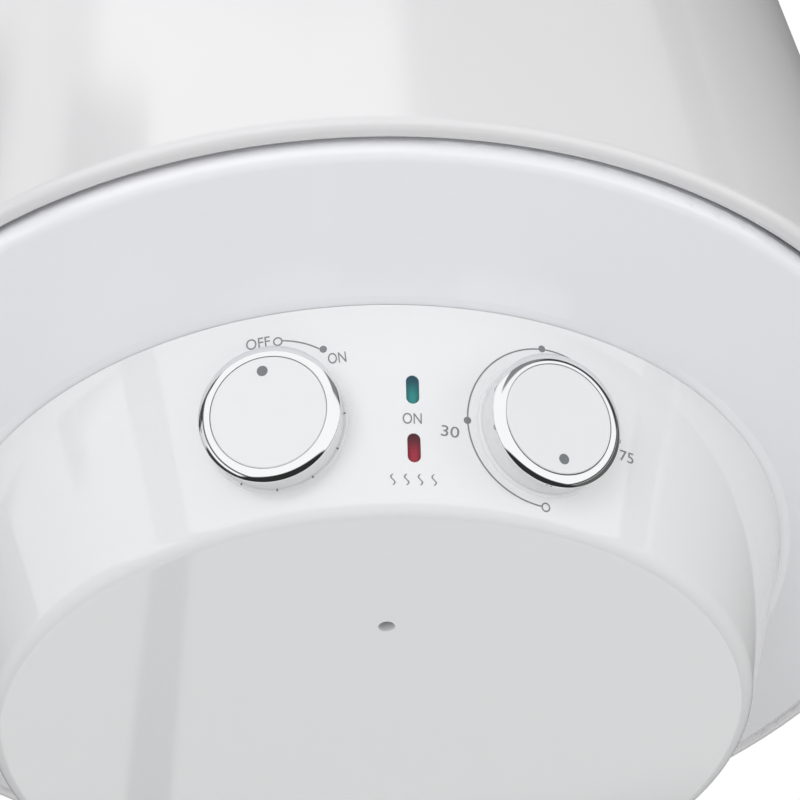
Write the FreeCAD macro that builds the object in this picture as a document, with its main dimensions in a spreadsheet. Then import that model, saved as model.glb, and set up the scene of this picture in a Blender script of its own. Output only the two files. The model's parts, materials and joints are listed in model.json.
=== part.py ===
"""Electric storage water heater for a wall: a round insulated tank with a control cover below.

The model's origin is the middle of the wall bracket's back face. +Z is up, the wall lies at
y = 0 and the heater's front looks along -Y. Lengths are in millimetres.

Levels are heights above the lowest face of the control cover, and the heater's own axis is
upright. Azimuths are degrees about that axis, 0 at the front and positive towards +X.
"""

import FreeCAD, Part
import math
import os

import Sketcher

Vector = FreeCAD.Vector

SIZES = {
    # casing: a painted steel side whose two edges are rolled inwards
    "casing_radius": 225.0,
    "casing_sheet": 0.8,
    "hem_radius": 3.4,
    "hem_leg": 12.0,
    "rim_rise": 8.6,
    # bottom and top caps: a flat, a shallow cone and a rounded shoulder inside the rim
    "cap_sheet": 1.0,
    "cap_flat_border": 3.7,
    "cap_slope": 7.0,
    "shoulder_radius": 5.0,
    "rim_groove": 1.4,
    "cap_ledge": 14.3,
    "seam_gap": 0.3,
    # control cover: a plastic cone with a flat bottom
    "cover_depth": 63.8,
    "cover_gap": 1.7,
    "cover_tilt": 21.0,
    "cover_wall": 2.5,
    "cover_edge": 7.0,
    "lip_height": 2.2,
    "lip_flare": 0.9,
    "cover_screw_radius": 75.7,
    "cover_screw_turn": 2.4,
    "screw_well_radius": 2.8,
    "screw_well_depth": 6.0,
    "cover_boss_radius": 7.0,
    "cover_boss_height": 14.0,
    # tank
    "foam_thickness": 31.2,
    "foam_top": 27.0,
    "tank_wall": 2.0,
    "barrel_length": 350.0,
    "head_depth": 55.0,
    "tank_lift": 16.0,
    "foam_set_back": 4.0,
    # flange joint at the bottom of the tank
    "flange_radius": 60.0,
    "flange_bore": 45.0,
    "flange_ring_height": 18.0,
    "flange_ring_drop": 10.0,
    "gasket_thickness": 2.0,
    "flange_thickness": 5.0,
    "flange_bolt_radius": 4.0,
    "flange_bolt_grip": 14.0,
    "bolt_head_across": 13.0,
    "bolt_head_height": 5.3,
    "bolt_clearance": 0.5,
    # heating element, anode and sensor pocket, all carried by the flange
    "element_radius": 4.25,
    "element_spread": 26.0,
    "element_length": 240.0,
    "element_tail": 3.0,
    "terminal_radius": 2.0,
    "terminal_length": 11.0,
    "insulator_radius": 4.0,
    "insulator_height": 3.0,
    "anode_offset": 24.0,
    "anode_radius": 10.5,
    "anode_length": 220.0,
    "anode_lift": 4.0,
    "anode_stud_radius": 4.0,
    "anode_stud_tail": 9.0,
    "anode_nut_height": 6.5,
    "pocket_offset": 20.0,
    "pocket_radius": 8.0,
    "pocket_wall": 1.0,
    "pocket_length": 140.0,
    "bulb_radius": 3.0,
    "bulb_length": 75.0,
    "bulb_spread": 3.3,
    "capillary_radius": 0.9,
    "earth_stud_radius": 2.5,
    "earth_stud_length": 13.0,
    "earth_stud_circle": 40.0,
    "earth_stud_azimuth": 130.0,
    "earth_nut_across": 8.0,
    "earth_nut_height": 4.0,
    # water pipes and their collars
    "pipe_radius": 10.48,
    "pipe_bore": 8.0,
    "pipe_spacing": 100.0,
    "pipe_inset": 15.0,
    "pipe_drop": 24.1,
    "thread_length": 15.0,
    "thread_relief": 2.0,
    "thread_depth": 1.08,
    "inlet_rise": 15.2,
    "outlet_joint_rise": 15.2,
    "outlet_bend_drop": 44.8,
    "outlet_end_drop": 25.8,
    "outlet_end_radius": 60.0,
    "diffuser_wall": 2.0,
    "diffuser_height": 26.0,
    "diffuser_overlap": 10.0,
    "diffuser_slot": 4.0,
    "collar_lip": 3.4,
    "collar_flange": 4.0,
    "collar_bush_wall": 1.72,
    "collar_bush_length": 4.0,
    "collar_clearance": 0.4,
    # cable gland in the bottom cap
    "gland_inset": 38.0,
    "gland_thread_radius": 8.0,
    "gland_thread_length": 9.0,
    "gland_hex_across": 20.0,
    "gland_hex_height": 4.0,
    "gland_neck_length": 8.0,
    "gland_body_bore": 5.5,
    "gland_nut_radius": 10.5,
    "gland_nut_length": 13.0,
    "gland_nut_nose": 7.0,
    "gland_cable_radius": 4.0,
    "gland_seal_length": 8.0,
    "gland_locknut_across": 20.0,
    "gland_locknut_height": 4.0,
    # stations of the controls on the cone
    "knob_azimuth": 16.6,
    "knob_level": 29.4,
    "power_lamp_level": 36.8,
    "heating_lamp_level": 18.8,
    "pad_border": 1.5,
    "pad_rise": 0.3,
    # knobs
    "knob_gap": 0.5,
    "skirt_base_radius": 21.0,
    "skirt_top_radius": 20.4,
    "skirt_wall": 1.8,
    "skirt_height": 5.4,
    "web_thickness": 2.0,
    "web_rise": 0.7,
    "hub_radius": 5.5,
    "hub_start": 2.0,
    "ring_offset": 0.95,
    "ring_drop": 2.3,
    "ring_section": 2.5,
    "ring_inner_radius": 18.2,
    "face_gap": 0.1,
    "face_thickness": 1.5,
    "face_edge": 0.4,
    # spindles, switch and thermostat behind the cover
    "spindle_radius": 3.0,
    "spindle_flat": 1.8,
    "spindle_cover": 0.8,
    "spindle_flat_length": 7.0,
    "spindle_depth": 29.0,
    "spindle_clearance": 0.05,
    "spindle_hole": 5.0,
    "bracket_depth": 16.0,
    "bracket_sheet": 1.5,
    "bracket_half_width": 23.0,
    "bracket_lower_reach": 20.0,
    "shelf_width": 58.0,
    "shelf_margin": 2.3,
    "shelf_half_angle": 35.0,
    "service_half_angle": 40.0,
    "shelf_screw_inset": 6.0,
    "shelf_screw_angle": 28.0,
    "shelf_screw_radius": 1.5,
    "shelf_screw_head": 3.0,
    "shelf_screw_head_height": 1.6,
    "shelf_screw_length": 7.0,
    "bush_radius": 5.0,
    "bush_length": 8.5,
    "bush_nut_across": 14.0,
    "bush_nut_height": 2.5,
    "switch_width": 28.0,
    "switch_height": 26.0,
    "switch_depth": 24.0,
    "thermostat_width": 40.0,
    "thermostat_height": 28.0,
    "thermostat_depth": 30.0,
    "blade_width": 6.3,
    "blade_thickness": 0.8,
    "blade_length": 8.0,
    "blade_pitch": 14.0,
    "blade_row": 9.0,
    # indicator lamps
    "lens_width": 4.1,
    "lens_length": 9.5,
    "lens_recess": 0.4,
    "lens_flange": 1.0,
    "lens_flange_thickness": 1.0,
    "lens_clearance": 0.05,
    "lamp_radius": 3.0,
    "lamp_length": 12.0,
    # thermal cut-out and terminal block on the service plate
    "cutout_azimuth": 204.0,
    "service_inset": 36.0,
    "cutout_width": 30.0,
    "cutout_depth": 24.0,
    "cutout_height": 20.0,
    "button_radius": 3.0,
    "button_length": 9.0,
    "button_proud": 4.0,
    "button_travel": 2.0,
    "button_clearance": 0.05,
    "block_azimuth": 166.0,
    "block_width": 46.0,
    "block_depth": 20.0,
    "block_height": 16.0,
    "block_ways": 4.0,
    "block_pitch": 11.0,
    "block_screw_radius": 2.0,
    "block_screw_length": 6.0,
    # cover posts and screws
    "post_radius": 5.0,
    "cover_screw_shank": 1.5,
    "cover_screw_head": 2.6,
    "cover_screw_head_height": 2.0,
    "cover_screw_length": 18.0,
    "cover_screw_clearance": 0.2,
    "screw_slot_width": 0.8,
    "screw_slot_depth": 1.0,
    # wall bracket and spacer
    "wall_gap": 20.0,
    "hang_rise": 302.0,
    "wall_plate_length": 250.0,
    "wall_plate_height": 44.0,
    "wall_plate_sheet": 3.0,
    "wall_hole_spacing": 200.0,
    "wall_hole_radius": 5.5,
    "wall_arm_spacing": 120.0,
    "wall_arm_clearance": 0.5,
    "spacer_radius": 16.0,
    "spacer_rise": 51.6,
    # wires
    "wire_radius": 1.2,
}

FLANGE_BOLTS = 6
DIFFUSER_SLOTS = 6


class Size:
    """A number taken or worked out from the spreadsheet, with the expression that gives it."""

    def __init__(self, value, text):
        self.value = value
        self.text = text

    def joined(self, other, sign, value):
        return Size(value, "(%s %s %s)" % (self.text, sign, other.text))

    def __add__(self, other):
        other = as_size(other)
        return self.joined(other, "+", self.value + other.value)

    def __sub__(self, other):
        other = as_size(other)
        return self.joined(other, "-", self.value - other.value)

    def __mul__(self, other):
        other = as_size(other)
        return self.joined(other, "*", self.value * other.value)

    def __truediv__(self, other):
        other = as_size(other)
        return self.joined(other, "/", self.value / other.value)

    def __radd__(self, other):
        return as_size(other) + self

    def __rsub__(self, other):
        return as_size(other) - self

    def __rmul__(self, other):
        return as_size(other) * self

    def __neg__(self):
        return as_size(0) - self


def as_size(value):
    return value if isinstance(value, Size) else Size(float(value), "%.6f" % value)


def sine(angle):
    return Size(math.sin(math.radians(angle.value)), "sin(%s)" % angle.text)


def cosine(angle):
    return Size(math.cos(math.radians(angle.value)), "cos(%s)" % angle.text)


def tangent(angle):
    return Size(math.tan(math.radians(angle.value)), "tan(%s)" % angle.text)


def root(number):
    return Size(math.sqrt(number.value), "sqrt(%s)" % number.text)


class Sheet:
    """The document's spreadsheet: one aliased cell for each driving dimension."""

    def __init__(self, document, sizes):
        self.cells = document.addObject("Spreadsheet::Sheet", "Sizes")
        for row, (alias, value) in enumerate(sizes.items(), start=1):
            self.cells.set("A%d" % row, alias.replace("_", " "))
            self.cells.set("B%d" % row, "%.4f" % value)
            self.cells.setAlias("B%d" % row, alias)
        document.recompute()

    def __getattr__(self, alias):
        return Size(float(self.cells.get(alias)), "Sizes.%s" % alias)


doc = FreeCAD.newDocument("water_heater")
s = Sheet(doc, SIZES)
nodes = []

# Worked-out places

axis_to_wall = s.casing_radius + s.wall_gap
casing_inside = s.casing_radius - s.casing_sheet
tank_radius = casing_inside - s.foam_thickness
pipe_circle = tank_radius - s.pipe_inset
pipe_reach = root(pipe_circle * pipe_circle - s.pipe_spacing * s.pipe_spacing / 4)
thread_root = s.pipe_radius - s.thread_depth
collar_bush_radius = s.pipe_radius + s.collar_clearance + s.collar_bush_wall
collar_radius = collar_bush_radius + s.collar_lip
gland_circle = s.casing_radius - s.gland_inset

cover_seam_radius = pipe_circle - collar_radius - s.cover_gap
cap_flat_radius = cover_seam_radius + s.cap_flat_border
opening_radius = cover_seam_radius - s.cap_ledge
foam_opening = opening_radius + s.foam_set_back
shelf_outer_radius = cover_seam_radius - s.shelf_margin
shelf_inner_radius = shelf_outer_radius - s.shelf_width
shelf_screw_circle = opening_radius + s.shelf_screw_inset
service_circle = shelf_outer_radius - s.service_inset

seam_level = s.cover_depth
ring_level = seam_level + s.seam_gap
shelf_level = ring_level + s.cap_sheet
rim_level = seam_level + s.rim_rise
tank_bottom = seam_level + s.tank_lift
barrel_bottom = tank_bottom + s.head_depth
barrel_top = barrel_bottom + s.barrel_length
tank_top = barrel_top + s.head_depth
dome_radius = (tank_radius * tank_radius + s.head_depth * s.head_depth) / (2 * s.head_depth)
top_rim_level = tank_top + s.foam_top
top_level = top_rim_level + rim_level - ring_level
hang_level = barrel_bottom + s.hang_rise
spacer_level = rim_level + s.spacer_rise

hem_centre = s.casing_radius - s.hem_radius
hem_inside = s.casing_radius - 2 * s.hem_radius
cap_wall = hem_inside - s.rim_groove
shoulder_centre = cap_wall - s.shoulder_radius
shoulder_start = shoulder_centre + s.shoulder_radius * sine(s.cap_slope)
shoulder_rise = (shoulder_start - cap_flat_radius) * tangent(s.cap_slope)
shoulder_height = shoulder_rise + s.shoulder_radius * cosine(s.cap_slope)
cap_flange_rise = s.rim_rise - s.seam_gap + s.hem_radius + s.hem_leg

cover_lip_radius = cover_seam_radius - s.lip_flare
cover_lip_level = seam_level - s.lip_height
cover_disc_radius = cover_lip_radius - cover_lip_level * tangent(s.cover_tilt)

flange_ring_bottom = tank_bottom - s.flange_ring_drop
gasket_bottom = flange_ring_bottom - s.gasket_thickness
flange_bottom = gasket_bottom - s.flange_thickness
flange_bolt_circle = (s.flange_radius + s.flange_bore) / 2

pipe_end_level = ring_level - s.pipe_drop
inlet_top_level = barrel_bottom + s.inlet_rise
outlet_joint_level = barrel_bottom + s.outlet_joint_rise
outlet_bend_level = barrel_top - s.outlet_bend_drop
outlet_end_level = tank_top - s.outlet_end_drop

pad_radius = s.skirt_base_radius + s.pad_border
skirt_base = s.pad_rise + s.knob_gap
skirt_top = skirt_base + s.skirt_height
ring_centre_radius = s.ring_inner_radius + s.ring_offset
ring_centre_height = skirt_top + s.ring_drop
web_top = ring_centre_height + s.web_rise
face_radius = s.ring_inner_radius - s.face_gap
face_top = web_top + s.face_thickness
spindle_top = web_top - s.spindle_cover


# Frames

def heater_frame():
    """The heater's axis, at the level of the control cover's lowest face."""
    return FreeCAD.Placement(Vector(0, -axis_to_wall.value, -hang_level.value), FreeCAD.Rotation())


def turned(position, side, up, outward):
    """A frame in the heater's own, at position, whose x, y and z axes are the three given."""
    rotation = FreeCAD.Rotation(side, up, outward, "ZXY")
    return heater_frame().multiply(FreeCAD.Placement(position, rotation))


def azimuth_vectors(azimuth):
    """The outward and the sideways unit vectors at an azimuth in degrees."""
    angle = math.radians(azimuth)
    outward = Vector(math.sin(angle), -math.cos(angle), 0)
    side = Vector(math.cos(angle), math.sin(angle), 0)
    return outward, side


def cone_station(azimuth, level):
    """A frame on the cover's cone: x sideways, y up the cone, z square out of it."""
    outward, side = azimuth_vectors(azimuth)
    tilt = math.radians(s.cover_tilt.value)
    radius = cover_disc_radius.value + level * math.tan(tilt)
    normal = outward * math.cos(tilt) - Vector(0, 0, 1) * math.sin(tilt)
    uphill = outward * math.sin(tilt) + Vector(0, 0, 1) * math.cos(tilt)
    return turned(outward * radius + Vector(0, 0, level), side, uphill, normal)


def cap_station(azimuth, radius):
    """A frame on the bottom cap's cone: z square out of it, which is nearly straight down."""
    outward, side = azimuth_vectors(azimuth)
    slope = math.radians(s.cap_slope.value)
    level = ring_level.value + (radius - cap_flat_radius.value) * math.tan(slope)
    normal = outward * math.sin(slope) - Vector(0, 0, 1) * math.cos(slope)
    return turned(outward * radius + Vector(0, 0, level), side, normal.cross(side), normal)


def hanging_station(azimuth, radius, level):
    """A frame for what hangs below a level plate: x sideways, y outwards, z down."""
    outward, side = azimuth_vectors(azimuth)
    return turned(outward * radius + Vector(0, 0, level), side, outward, Vector(0, 0, -1))


# Building blocks

def place(item, at, frame, rotation=None):
    """Put an object at a point of a frame, or bind it to the heater's own frame."""
    x, y, z = [as_size(value) for value in at]
    rotation = rotation or FreeCAD.Rotation()
    if frame is not None:
        local = FreeCAD.Placement(Vector(x.value, y.value, z.value), rotation)
        item.Placement = frame.multiply(local)
        return item
    item.Placement = FreeCAD.Placement(Vector(0, 0, 0), rotation)
    item.setExpression("Placement.Base.x", x.text)
    item.setExpression("Placement.Base.y", (y - axis_to_wall).text)
    item.setExpression("Placement.Base.z", (z - hang_level).text)
    return item


def primitive(kind, name, dimensions, at, frame, rotation=None):
    item = doc.addObject("Part::" + kind, name)
    for prop, value in dimensions.items():
        item.setExpression(prop, as_size(value).text)
    return place(item, at, frame, rotation)


def cylinder(name, radius, height, at=(0, 0, 0), frame=None, rotation=None):
    return primitive("Cylinder", name, {"Radius": radius, "Height": height}, at, frame, rotation)


def cone(name, radius, end_radius, height, at=(0, 0, 0), frame=None):
    sizes = {"Radius1": radius, "Radius2": end_radius, "Height": height}
    return primitive("Cone", name, sizes, at, frame)


def box(name, length, width, height, at=(0, 0, 0), frame=None):
    sizes = {"Length": length, "Width": width, "Height": height}
    return primitive("Box", name, sizes, at, frame)


def centred_box(name, length, width, height, at=(0, 0, 0), frame=None):
    """A box whose foot is centred on a point."""
    x, y, z = at
    corner = (x - as_size(length) / 2, y - as_size(width) / 2, z)
    return box(name, length, width, height, corner, frame)


def hexagon(name, across, height, at=(0, 0, 0), frame=None):
    item = doc.addObject("Part::Prism", name)
    item.Polygon = 6
    item.setExpression("Circumradius", (as_size(across) / math.sqrt(3)).text)
    item.setExpression("Height", as_size(height).text)
    return place(item, at, frame)


def fuse(name, *items):
    item = doc.addObject("Part::MultiFuse", name)
    item.Shapes = list(items)
    return item


def cut(name, base, *tools):
    item = doc.addObject("Part::Cut", name)
    item.Base = base
    item.Tool = tools[0] if len(tools) == 1 else fuse(name + "_tools", *tools)
    return item


def common(name, base, tool):
    item = doc.addObject("Part::Common", name)
    item.Base = base
    item.Tool = tool
    return item


def group(name, items):
    item = doc.addObject("Part::Compound", name)
    item.Links = items
    return item


def tube(name, radius, bore, height, at=(0, 0, 0), frame=None):
    outside = cylinder(name + "_outside", radius, height, at, frame)
    inside = cylinder(name + "_inside", bore, height, at, frame)
    return cut(name + "_tube", outside, inside)


class Line:
    """A straight side of a profile that ends at a point."""

    def __init__(self, x, y):
        self.end = (as_size(x), as_size(y))


class Arc:
    """A round side of a profile that ends at a point, about a centre."""

    def __init__(self, x, y, centre_x, centre_y, clockwise=False):
        self.end = (as_size(x), as_size(y))
        self.centre = (as_size(centre_x), as_size(centre_y))
        self.clockwise = clockwise

    def geometry(self, start, end):
        centre = Vector(self.centre[0].value, self.centre[1].value, 0)
        first, last = (end, start) if self.clockwise else (start, end)
        first_angle = math.atan2(first.y - centre.y, first.x - centre.x)
        last_angle = math.atan2(last.y - centre.y, last.x - centre.x)
        if last_angle <= first_angle:
            last_angle += 2 * math.pi
        circle = Part.Circle(centre, Vector(0, 0, 1), (first - centre).Length)
        return Part.ArcOfCircle(circle, first_angle, last_angle)


def bound_constraint(sketch, kind, size, *places):
    sketch.addConstraint(Sketcher.Constraint(kind, *places, size.value))
    sketch.setExpression("Constraints[%d]" % (sketch.ConstraintCount - 1), size.text)


def fix_point(sketch, index, position, point):
    """Hold one point of a sketch at its two sizes, or on an axis where a size is nothing."""
    x, y = point
    if x.value == 0:
        sketch.addConstraint(Sketcher.Constraint("PointOnObject", index, position, -2))
    else:
        bound_constraint(sketch, "DistanceX", x, -1, 1, index, position)
    if y.value == 0:
        sketch.addConstraint(Sketcher.Constraint("PointOnObject", index, position, -1))
    else:
        bound_constraint(sketch, "DistanceY", y, -1, 1, index, position)


def profile_sketch(body, plane, sides):
    """A closed sketch on one of a body's own planes, with every corner bound to its sizes."""
    sketch = body.newObject("Sketcher::SketchObject", body.Name + "_sketch")
    support = [item for item in body.Origin.OriginFeatures if item.Role == plane]
    sketch.AttachmentSupport = [(support[0], "")]
    sketch.MapMode = "FlatFace"
    corners = [side.end for side in sides]
    starts = [corners[-1]] + corners[:-1]
    ends_of = []
    for index, (side, start) in enumerate(zip(sides, starts)):
        first = Vector(start[0].value, start[1].value, 0)
        last = Vector(side.end[0].value, side.end[1].value, 0)
        if isinstance(side, Arc):
            sketch.addGeometry(side.geometry(first, last), False)
            ends_of.append((2, 1) if side.clockwise else (1, 2))
        else:
            sketch.addGeometry(Part.LineSegment(first, last), False)
            ends_of.append((1, 2))
    for index in range(len(sides)):
        following = (index + 1) % len(sides)
        joint = (index, ends_of[index][1], following, ends_of[following][0])
        sketch.addConstraint(Sketcher.Constraint("Coincident", *joint))
    for index, (side, start) in enumerate(zip(sides, starts)):
        fix_point(sketch, index, ends_of[index][0], start)
        if isinstance(side, Arc):
            across = abs(side.end[0].value - start[0].value)
            along = abs(side.end[1].value - start[1].value)
            if across >= along:
                bound_constraint(sketch, "DistanceY", side.centre[1], -1, 1, index, 3)
            else:
                bound_constraint(sketch, "DistanceX", side.centre[0], -1, 1, index, 3)
    return sketch


def revolved(name, sides, frame=None):
    """A body turned about its own z axis from a profile of radius and height."""
    body = doc.addObject("PartDesign::Body", name)
    sketch = profile_sketch(body, "XZ_Plane", sides)
    turn = body.newObject("PartDesign::Revolution", name + "_turn")
    turn.Profile = sketch
    turn.ReferenceAxis = (sketch, ["V_Axis"])
    turn.Angle = 360
    return place(body, (0, 0, 0), frame)


def rounded_route(points):
    """A wire through points: straight runs joined by tangent arcs as large as the runs allow."""
    edges = []
    here = points[0]
    radii = []
    for before, corner, after in zip(points, points[1:], points[2:]):
        arriving = (corner - before).normalize()
        leaving = (after - corner).normalize()
        reach = 0.45 * min((corner - before).Length, (after - corner).Length)
        half_turn = arriving.getAngle(leaving) / 2
        radius = reach / math.tan(half_turn)
        start = corner - arriving * reach
        end = corner + leaving * reach
        towards_centre = (leaving - arriving).normalize()
        middle = corner + towards_centre * (radius / math.cos(half_turn) - radius)
        edges.append(Part.LineSegment(here, start).toShape())
        edges.append(Part.Arc(start, middle, end).toShape())
        radii.append(radius)
        here = end
    edges.append(Part.LineSegment(here, points[-1]).toShape())
    return Part.Wire(edges), radii


def swept(name, route, radius):
    """A round solid along a wire, checked against its section times its length."""
    first = route.Edges[0]
    start = first.valueAt(first.FirstParameter)
    heading = first.tangentAt(first.FirstParameter)
    section = Part.Wire([Part.makeCircle(radius, start, heading)])
    shape = route.makePipeShell([section], True, False)
    expected = math.pi * radius * radius * route.Length
    print("%s: length %.1f, volume ratio %.4f" % (name, route.Length, shape.Volume / expected))
    return shape


def feature(name, shape):
    item = doc.addObject("Part::Feature", name)
    item.Shape = shape
    return item


def routed(name, points, radius):
    """A wire or thin tube along hand-chosen points of the heater's own frame."""
    frame = heater_frame()
    route, radii = rounded_route([frame.multVec(Vector(*point)) for point in points])
    print("%s: least bend radius %.1f" % (name, min(radii)))
    return feature(name, swept(name, route, radius))


def finish(node, item):
    """Name an object after its node, and keep it for writing."""
    item.Label = node
    nodes.append(item)
    return item


# Sub-assemblies

def cap_profile(foot, sign, start_radius, thickness_side):
    """The sheet of a cap from an inner radius out to its flange.

    foot is the level of the flat's outer face, sign +1 for the bottom cap, whose shoulder rises
    from there, and -1 for the top cap, whose shoulder falls.
    """
    sheet = s.cap_sheet
    clockwise = sign < 0
    slope = s.cap_slope
    inner_radius = s.shoulder_radius - sheet
    centre_level = foot + sign * shoulder_height
    flange_level = foot + sign * cap_flange_rise
    inner_flat = cap_flat_radius - sheet * tangent(slope / 2)
    inner_start = shoulder_centre + inner_radius * sine(slope)
    return [
        Line(cap_flat_radius, foot),
        Line(shoulder_start, foot + sign * shoulder_rise),
        Arc(cap_wall, centre_level, shoulder_centre, centre_level, clockwise),
        Line(cap_wall, flange_level),
        Line(casing_inside, flange_level),
        Line(casing_inside, flange_level + sign * sheet),
        Line(cap_wall - sheet, flange_level + sign * sheet),
        Line(cap_wall - sheet, centre_level),
        Arc(inner_start, centre_level - sign * inner_radius * cosine(slope),
            shoulder_centre, centre_level, not clockwise),
        Line(inner_flat, foot + sign * sheet),
        Line(start_radius, foot + sign * sheet),
        Line(start_radius, foot),
    ]


def make_casing():
    radius = s.casing_radius
    low = rim_level + s.hem_radius
    high = top_rim_level - s.hem_radius
    leg = hem_inside + s.casing_sheet
    blank = revolved("casing_blank", [
        Line(radius, high),
        Arc(hem_inside, high, hem_centre, high),
        Line(hem_inside, high - s.hem_leg),
        Line(leg, high - s.hem_leg),
        Line(leg, high),
        Arc(casing_inside, high, hem_centre, high, True),
        Line(casing_inside, low),
        Arc(leg, low, hem_centre, low, True),
        Line(leg, low + s.hem_leg),
        Line(hem_inside, low + s.hem_leg),
        Line(hem_inside, low),
        Arc(radius, low, hem_centre, low),
    ])
    casing = cut("casing", blank, *bracket_slots("casing", s.wall_arm_clearance))
    finish("outer_casing", casing)

    top = revolved("top_cap", cap_profile(top_level, -1, as_size(0), -1))
    finish("top_cap", top)


def bracket_slots(name, clearance):
    """The room that the wall bracket's two arms take, with a clearance all round."""
    width = s.wall_plate_sheet + 2 * clearance
    height = s.wall_plate_height + 2 * clearance
    slots = []
    for side in (-1, 1):
        centre = side * s.wall_arm_spacing / 2
        corner = (centre - width / 2, 0, hang_level - height / 2)
        slots.append(box("%s_slot" % name, width, axis_to_wall - s.wall_plate_sheet, height, corner))
    return slots


def pipe_azimuth(side):
    half = s.pipe_spacing.value / 2
    return 180 - side * math.degrees(math.asin(half / pipe_circle.value))


def make_bottom_cap():
    blank = revolved("bottom_cap_blank", cap_profile(ring_level, 1, opening_radius, 1))
    holes = []
    for side in (-1, 1):
        station = cap_station(pipe_azimuth(side), pipe_circle.value)
        depth = 4 * s.cap_sheet
        holes.append(cylinder("cap_pipe_hole", collar_bush_radius, depth,
                              (0, 0, -depth / 2), station))
    gland = cap_station(180, gland_circle.value)
    holes.append(cylinder("cap_gland_hole", s.gland_thread_radius, 4 * s.cap_sheet,
                          (0, 0, -2 * s.cap_sheet), gland))
    for azimuth in shelf_screw_azimuths():
        outward = azimuth_vectors(azimuth)[0] * shelf_screw_circle.value
        holes.append(cylinder("cap_screw_hole", s.shelf_screw_radius, 4 * s.cap_sheet,
                              (outward.x, outward.y, ring_level - s.cap_sheet)))
    finish("bottom_cap", cut("bottom_cap", blank, *holes))


def head_profile(foot, sign):
    """A dished tank head: foot is the level of its outer pole, sign +1 where it opens upwards."""
    centre = foot + sign * dome_radius
    rim = foot + sign * s.head_depth
    inner = dome_radius - s.tank_wall
    rise = dome_radius - s.head_depth
    inner_rim = root(inner * inner - rise * rise)
    clockwise = sign < 0
    return [
        Arc(tank_radius, rim, 0, centre, clockwise),
        Line(inner_rim, rim),
        Arc(0, foot + sign * s.tank_wall, 0, centre, not clockwise),
        Line(0, foot),
    ]


def pipe_tool(name, side, radius, low, high):
    """An upright cylinder at one of the two pipes."""
    return cylinder(name, radius, high - low, (side * s.pipe_spacing / 2, pipe_reach, low))


def make_tank():
    bottom = revolved("bottom_head_blank", head_profile(tank_bottom, 1))
    openings = [cylinder("head_flange_hole", s.flange_radius, s.head_depth, (0, 0, tank_bottom))]
    for side in (-1, 1):
        openings.append(pipe_tool("head_pipe_hole", side, s.pipe_radius, tank_bottom, barrel_bottom))
    finish("tank_bottom_head", cut("tank_bottom_head", bottom, *openings))
    finish("tank_top_head", revolved("tank_top_head", head_profile(tank_top, -1)))
    barrel = tube("tank_barrel", tank_radius, tank_radius - s.tank_wall, s.barrel_length,
                  (0, 0, barrel_bottom))
    finish("tank_barrel", barrel)

    ring = tube("flange_ring", s.flange_radius, s.flange_bore, s.flange_ring_height,
                (0, 0, flange_ring_bottom))
    holes = [cylinder("ring_bolt_hole", s.flange_bolt_radius, s.flange_bolt_grip,
                      (x, y, flange_ring_bottom)) for x, y in bolt_places()]
    finish("tank_flange_ring", cut("tank_flange_ring", ring, *holes))


def make_foam():
    """Foam between the tank and the casing, open below the tank for the flange and controls."""
    sheet = s.cap_sheet
    low = ring_level + cap_flange_rise + sheet
    high = top_level - cap_flange_rise - sheet
    inner_radius = s.shoulder_radius - sheet
    centre_level = top_level - shoulder_height
    inner_start = shoulder_centre + inner_radius * sine(s.cap_slope)
    opening = foam_opening
    dome_at_opening = tank_bottom + dome_radius - root(dome_radius * dome_radius - opening * opening)
    blank = revolved("foam_blank", [
        Line(casing_inside, low),
        Line(casing_inside, high),
        Line(cap_wall - sheet, high),
        Line(cap_wall - sheet, centre_level),
        Arc(inner_start, centre_level + inner_radius * cosine(s.cap_slope),
            shoulder_centre, centre_level),
        Line(cap_flat_radius - sheet * tangent(s.cap_slope / 2), top_level - sheet),
        Line(0, top_level - sheet),
        Line(0, tank_top),
        Arc(tank_radius, barrel_top, 0, tank_top - dome_radius, True),
        Line(tank_radius, barrel_bottom),
        Arc(opening, dome_at_opening, 0, tank_bottom + dome_radius, True),
        Line(opening, low),
    ])
    tools = bracket_slots("foam", as_size(0))
    for side in (-1, 1):
        tools.append(pipe_tool("foam_pipe_hole", side, s.pipe_radius, ring_level, barrel_bottom))
    finish("insulation_foam", cut("insulation_foam", blank, *tools))


def bolt_places():
    places = []
    for index in range(FLANGE_BOLTS):
        angle = as_size(360 * index / FLANGE_BOLTS)
        places.append((flange_bolt_circle * sine(angle), flange_bolt_circle * cosine(angle)))
    return places


def earth_place():
    angle = s.earth_stud_azimuth
    return s.earth_stud_circle * sine(angle), -s.earth_stud_circle * cosine(angle)


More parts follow.
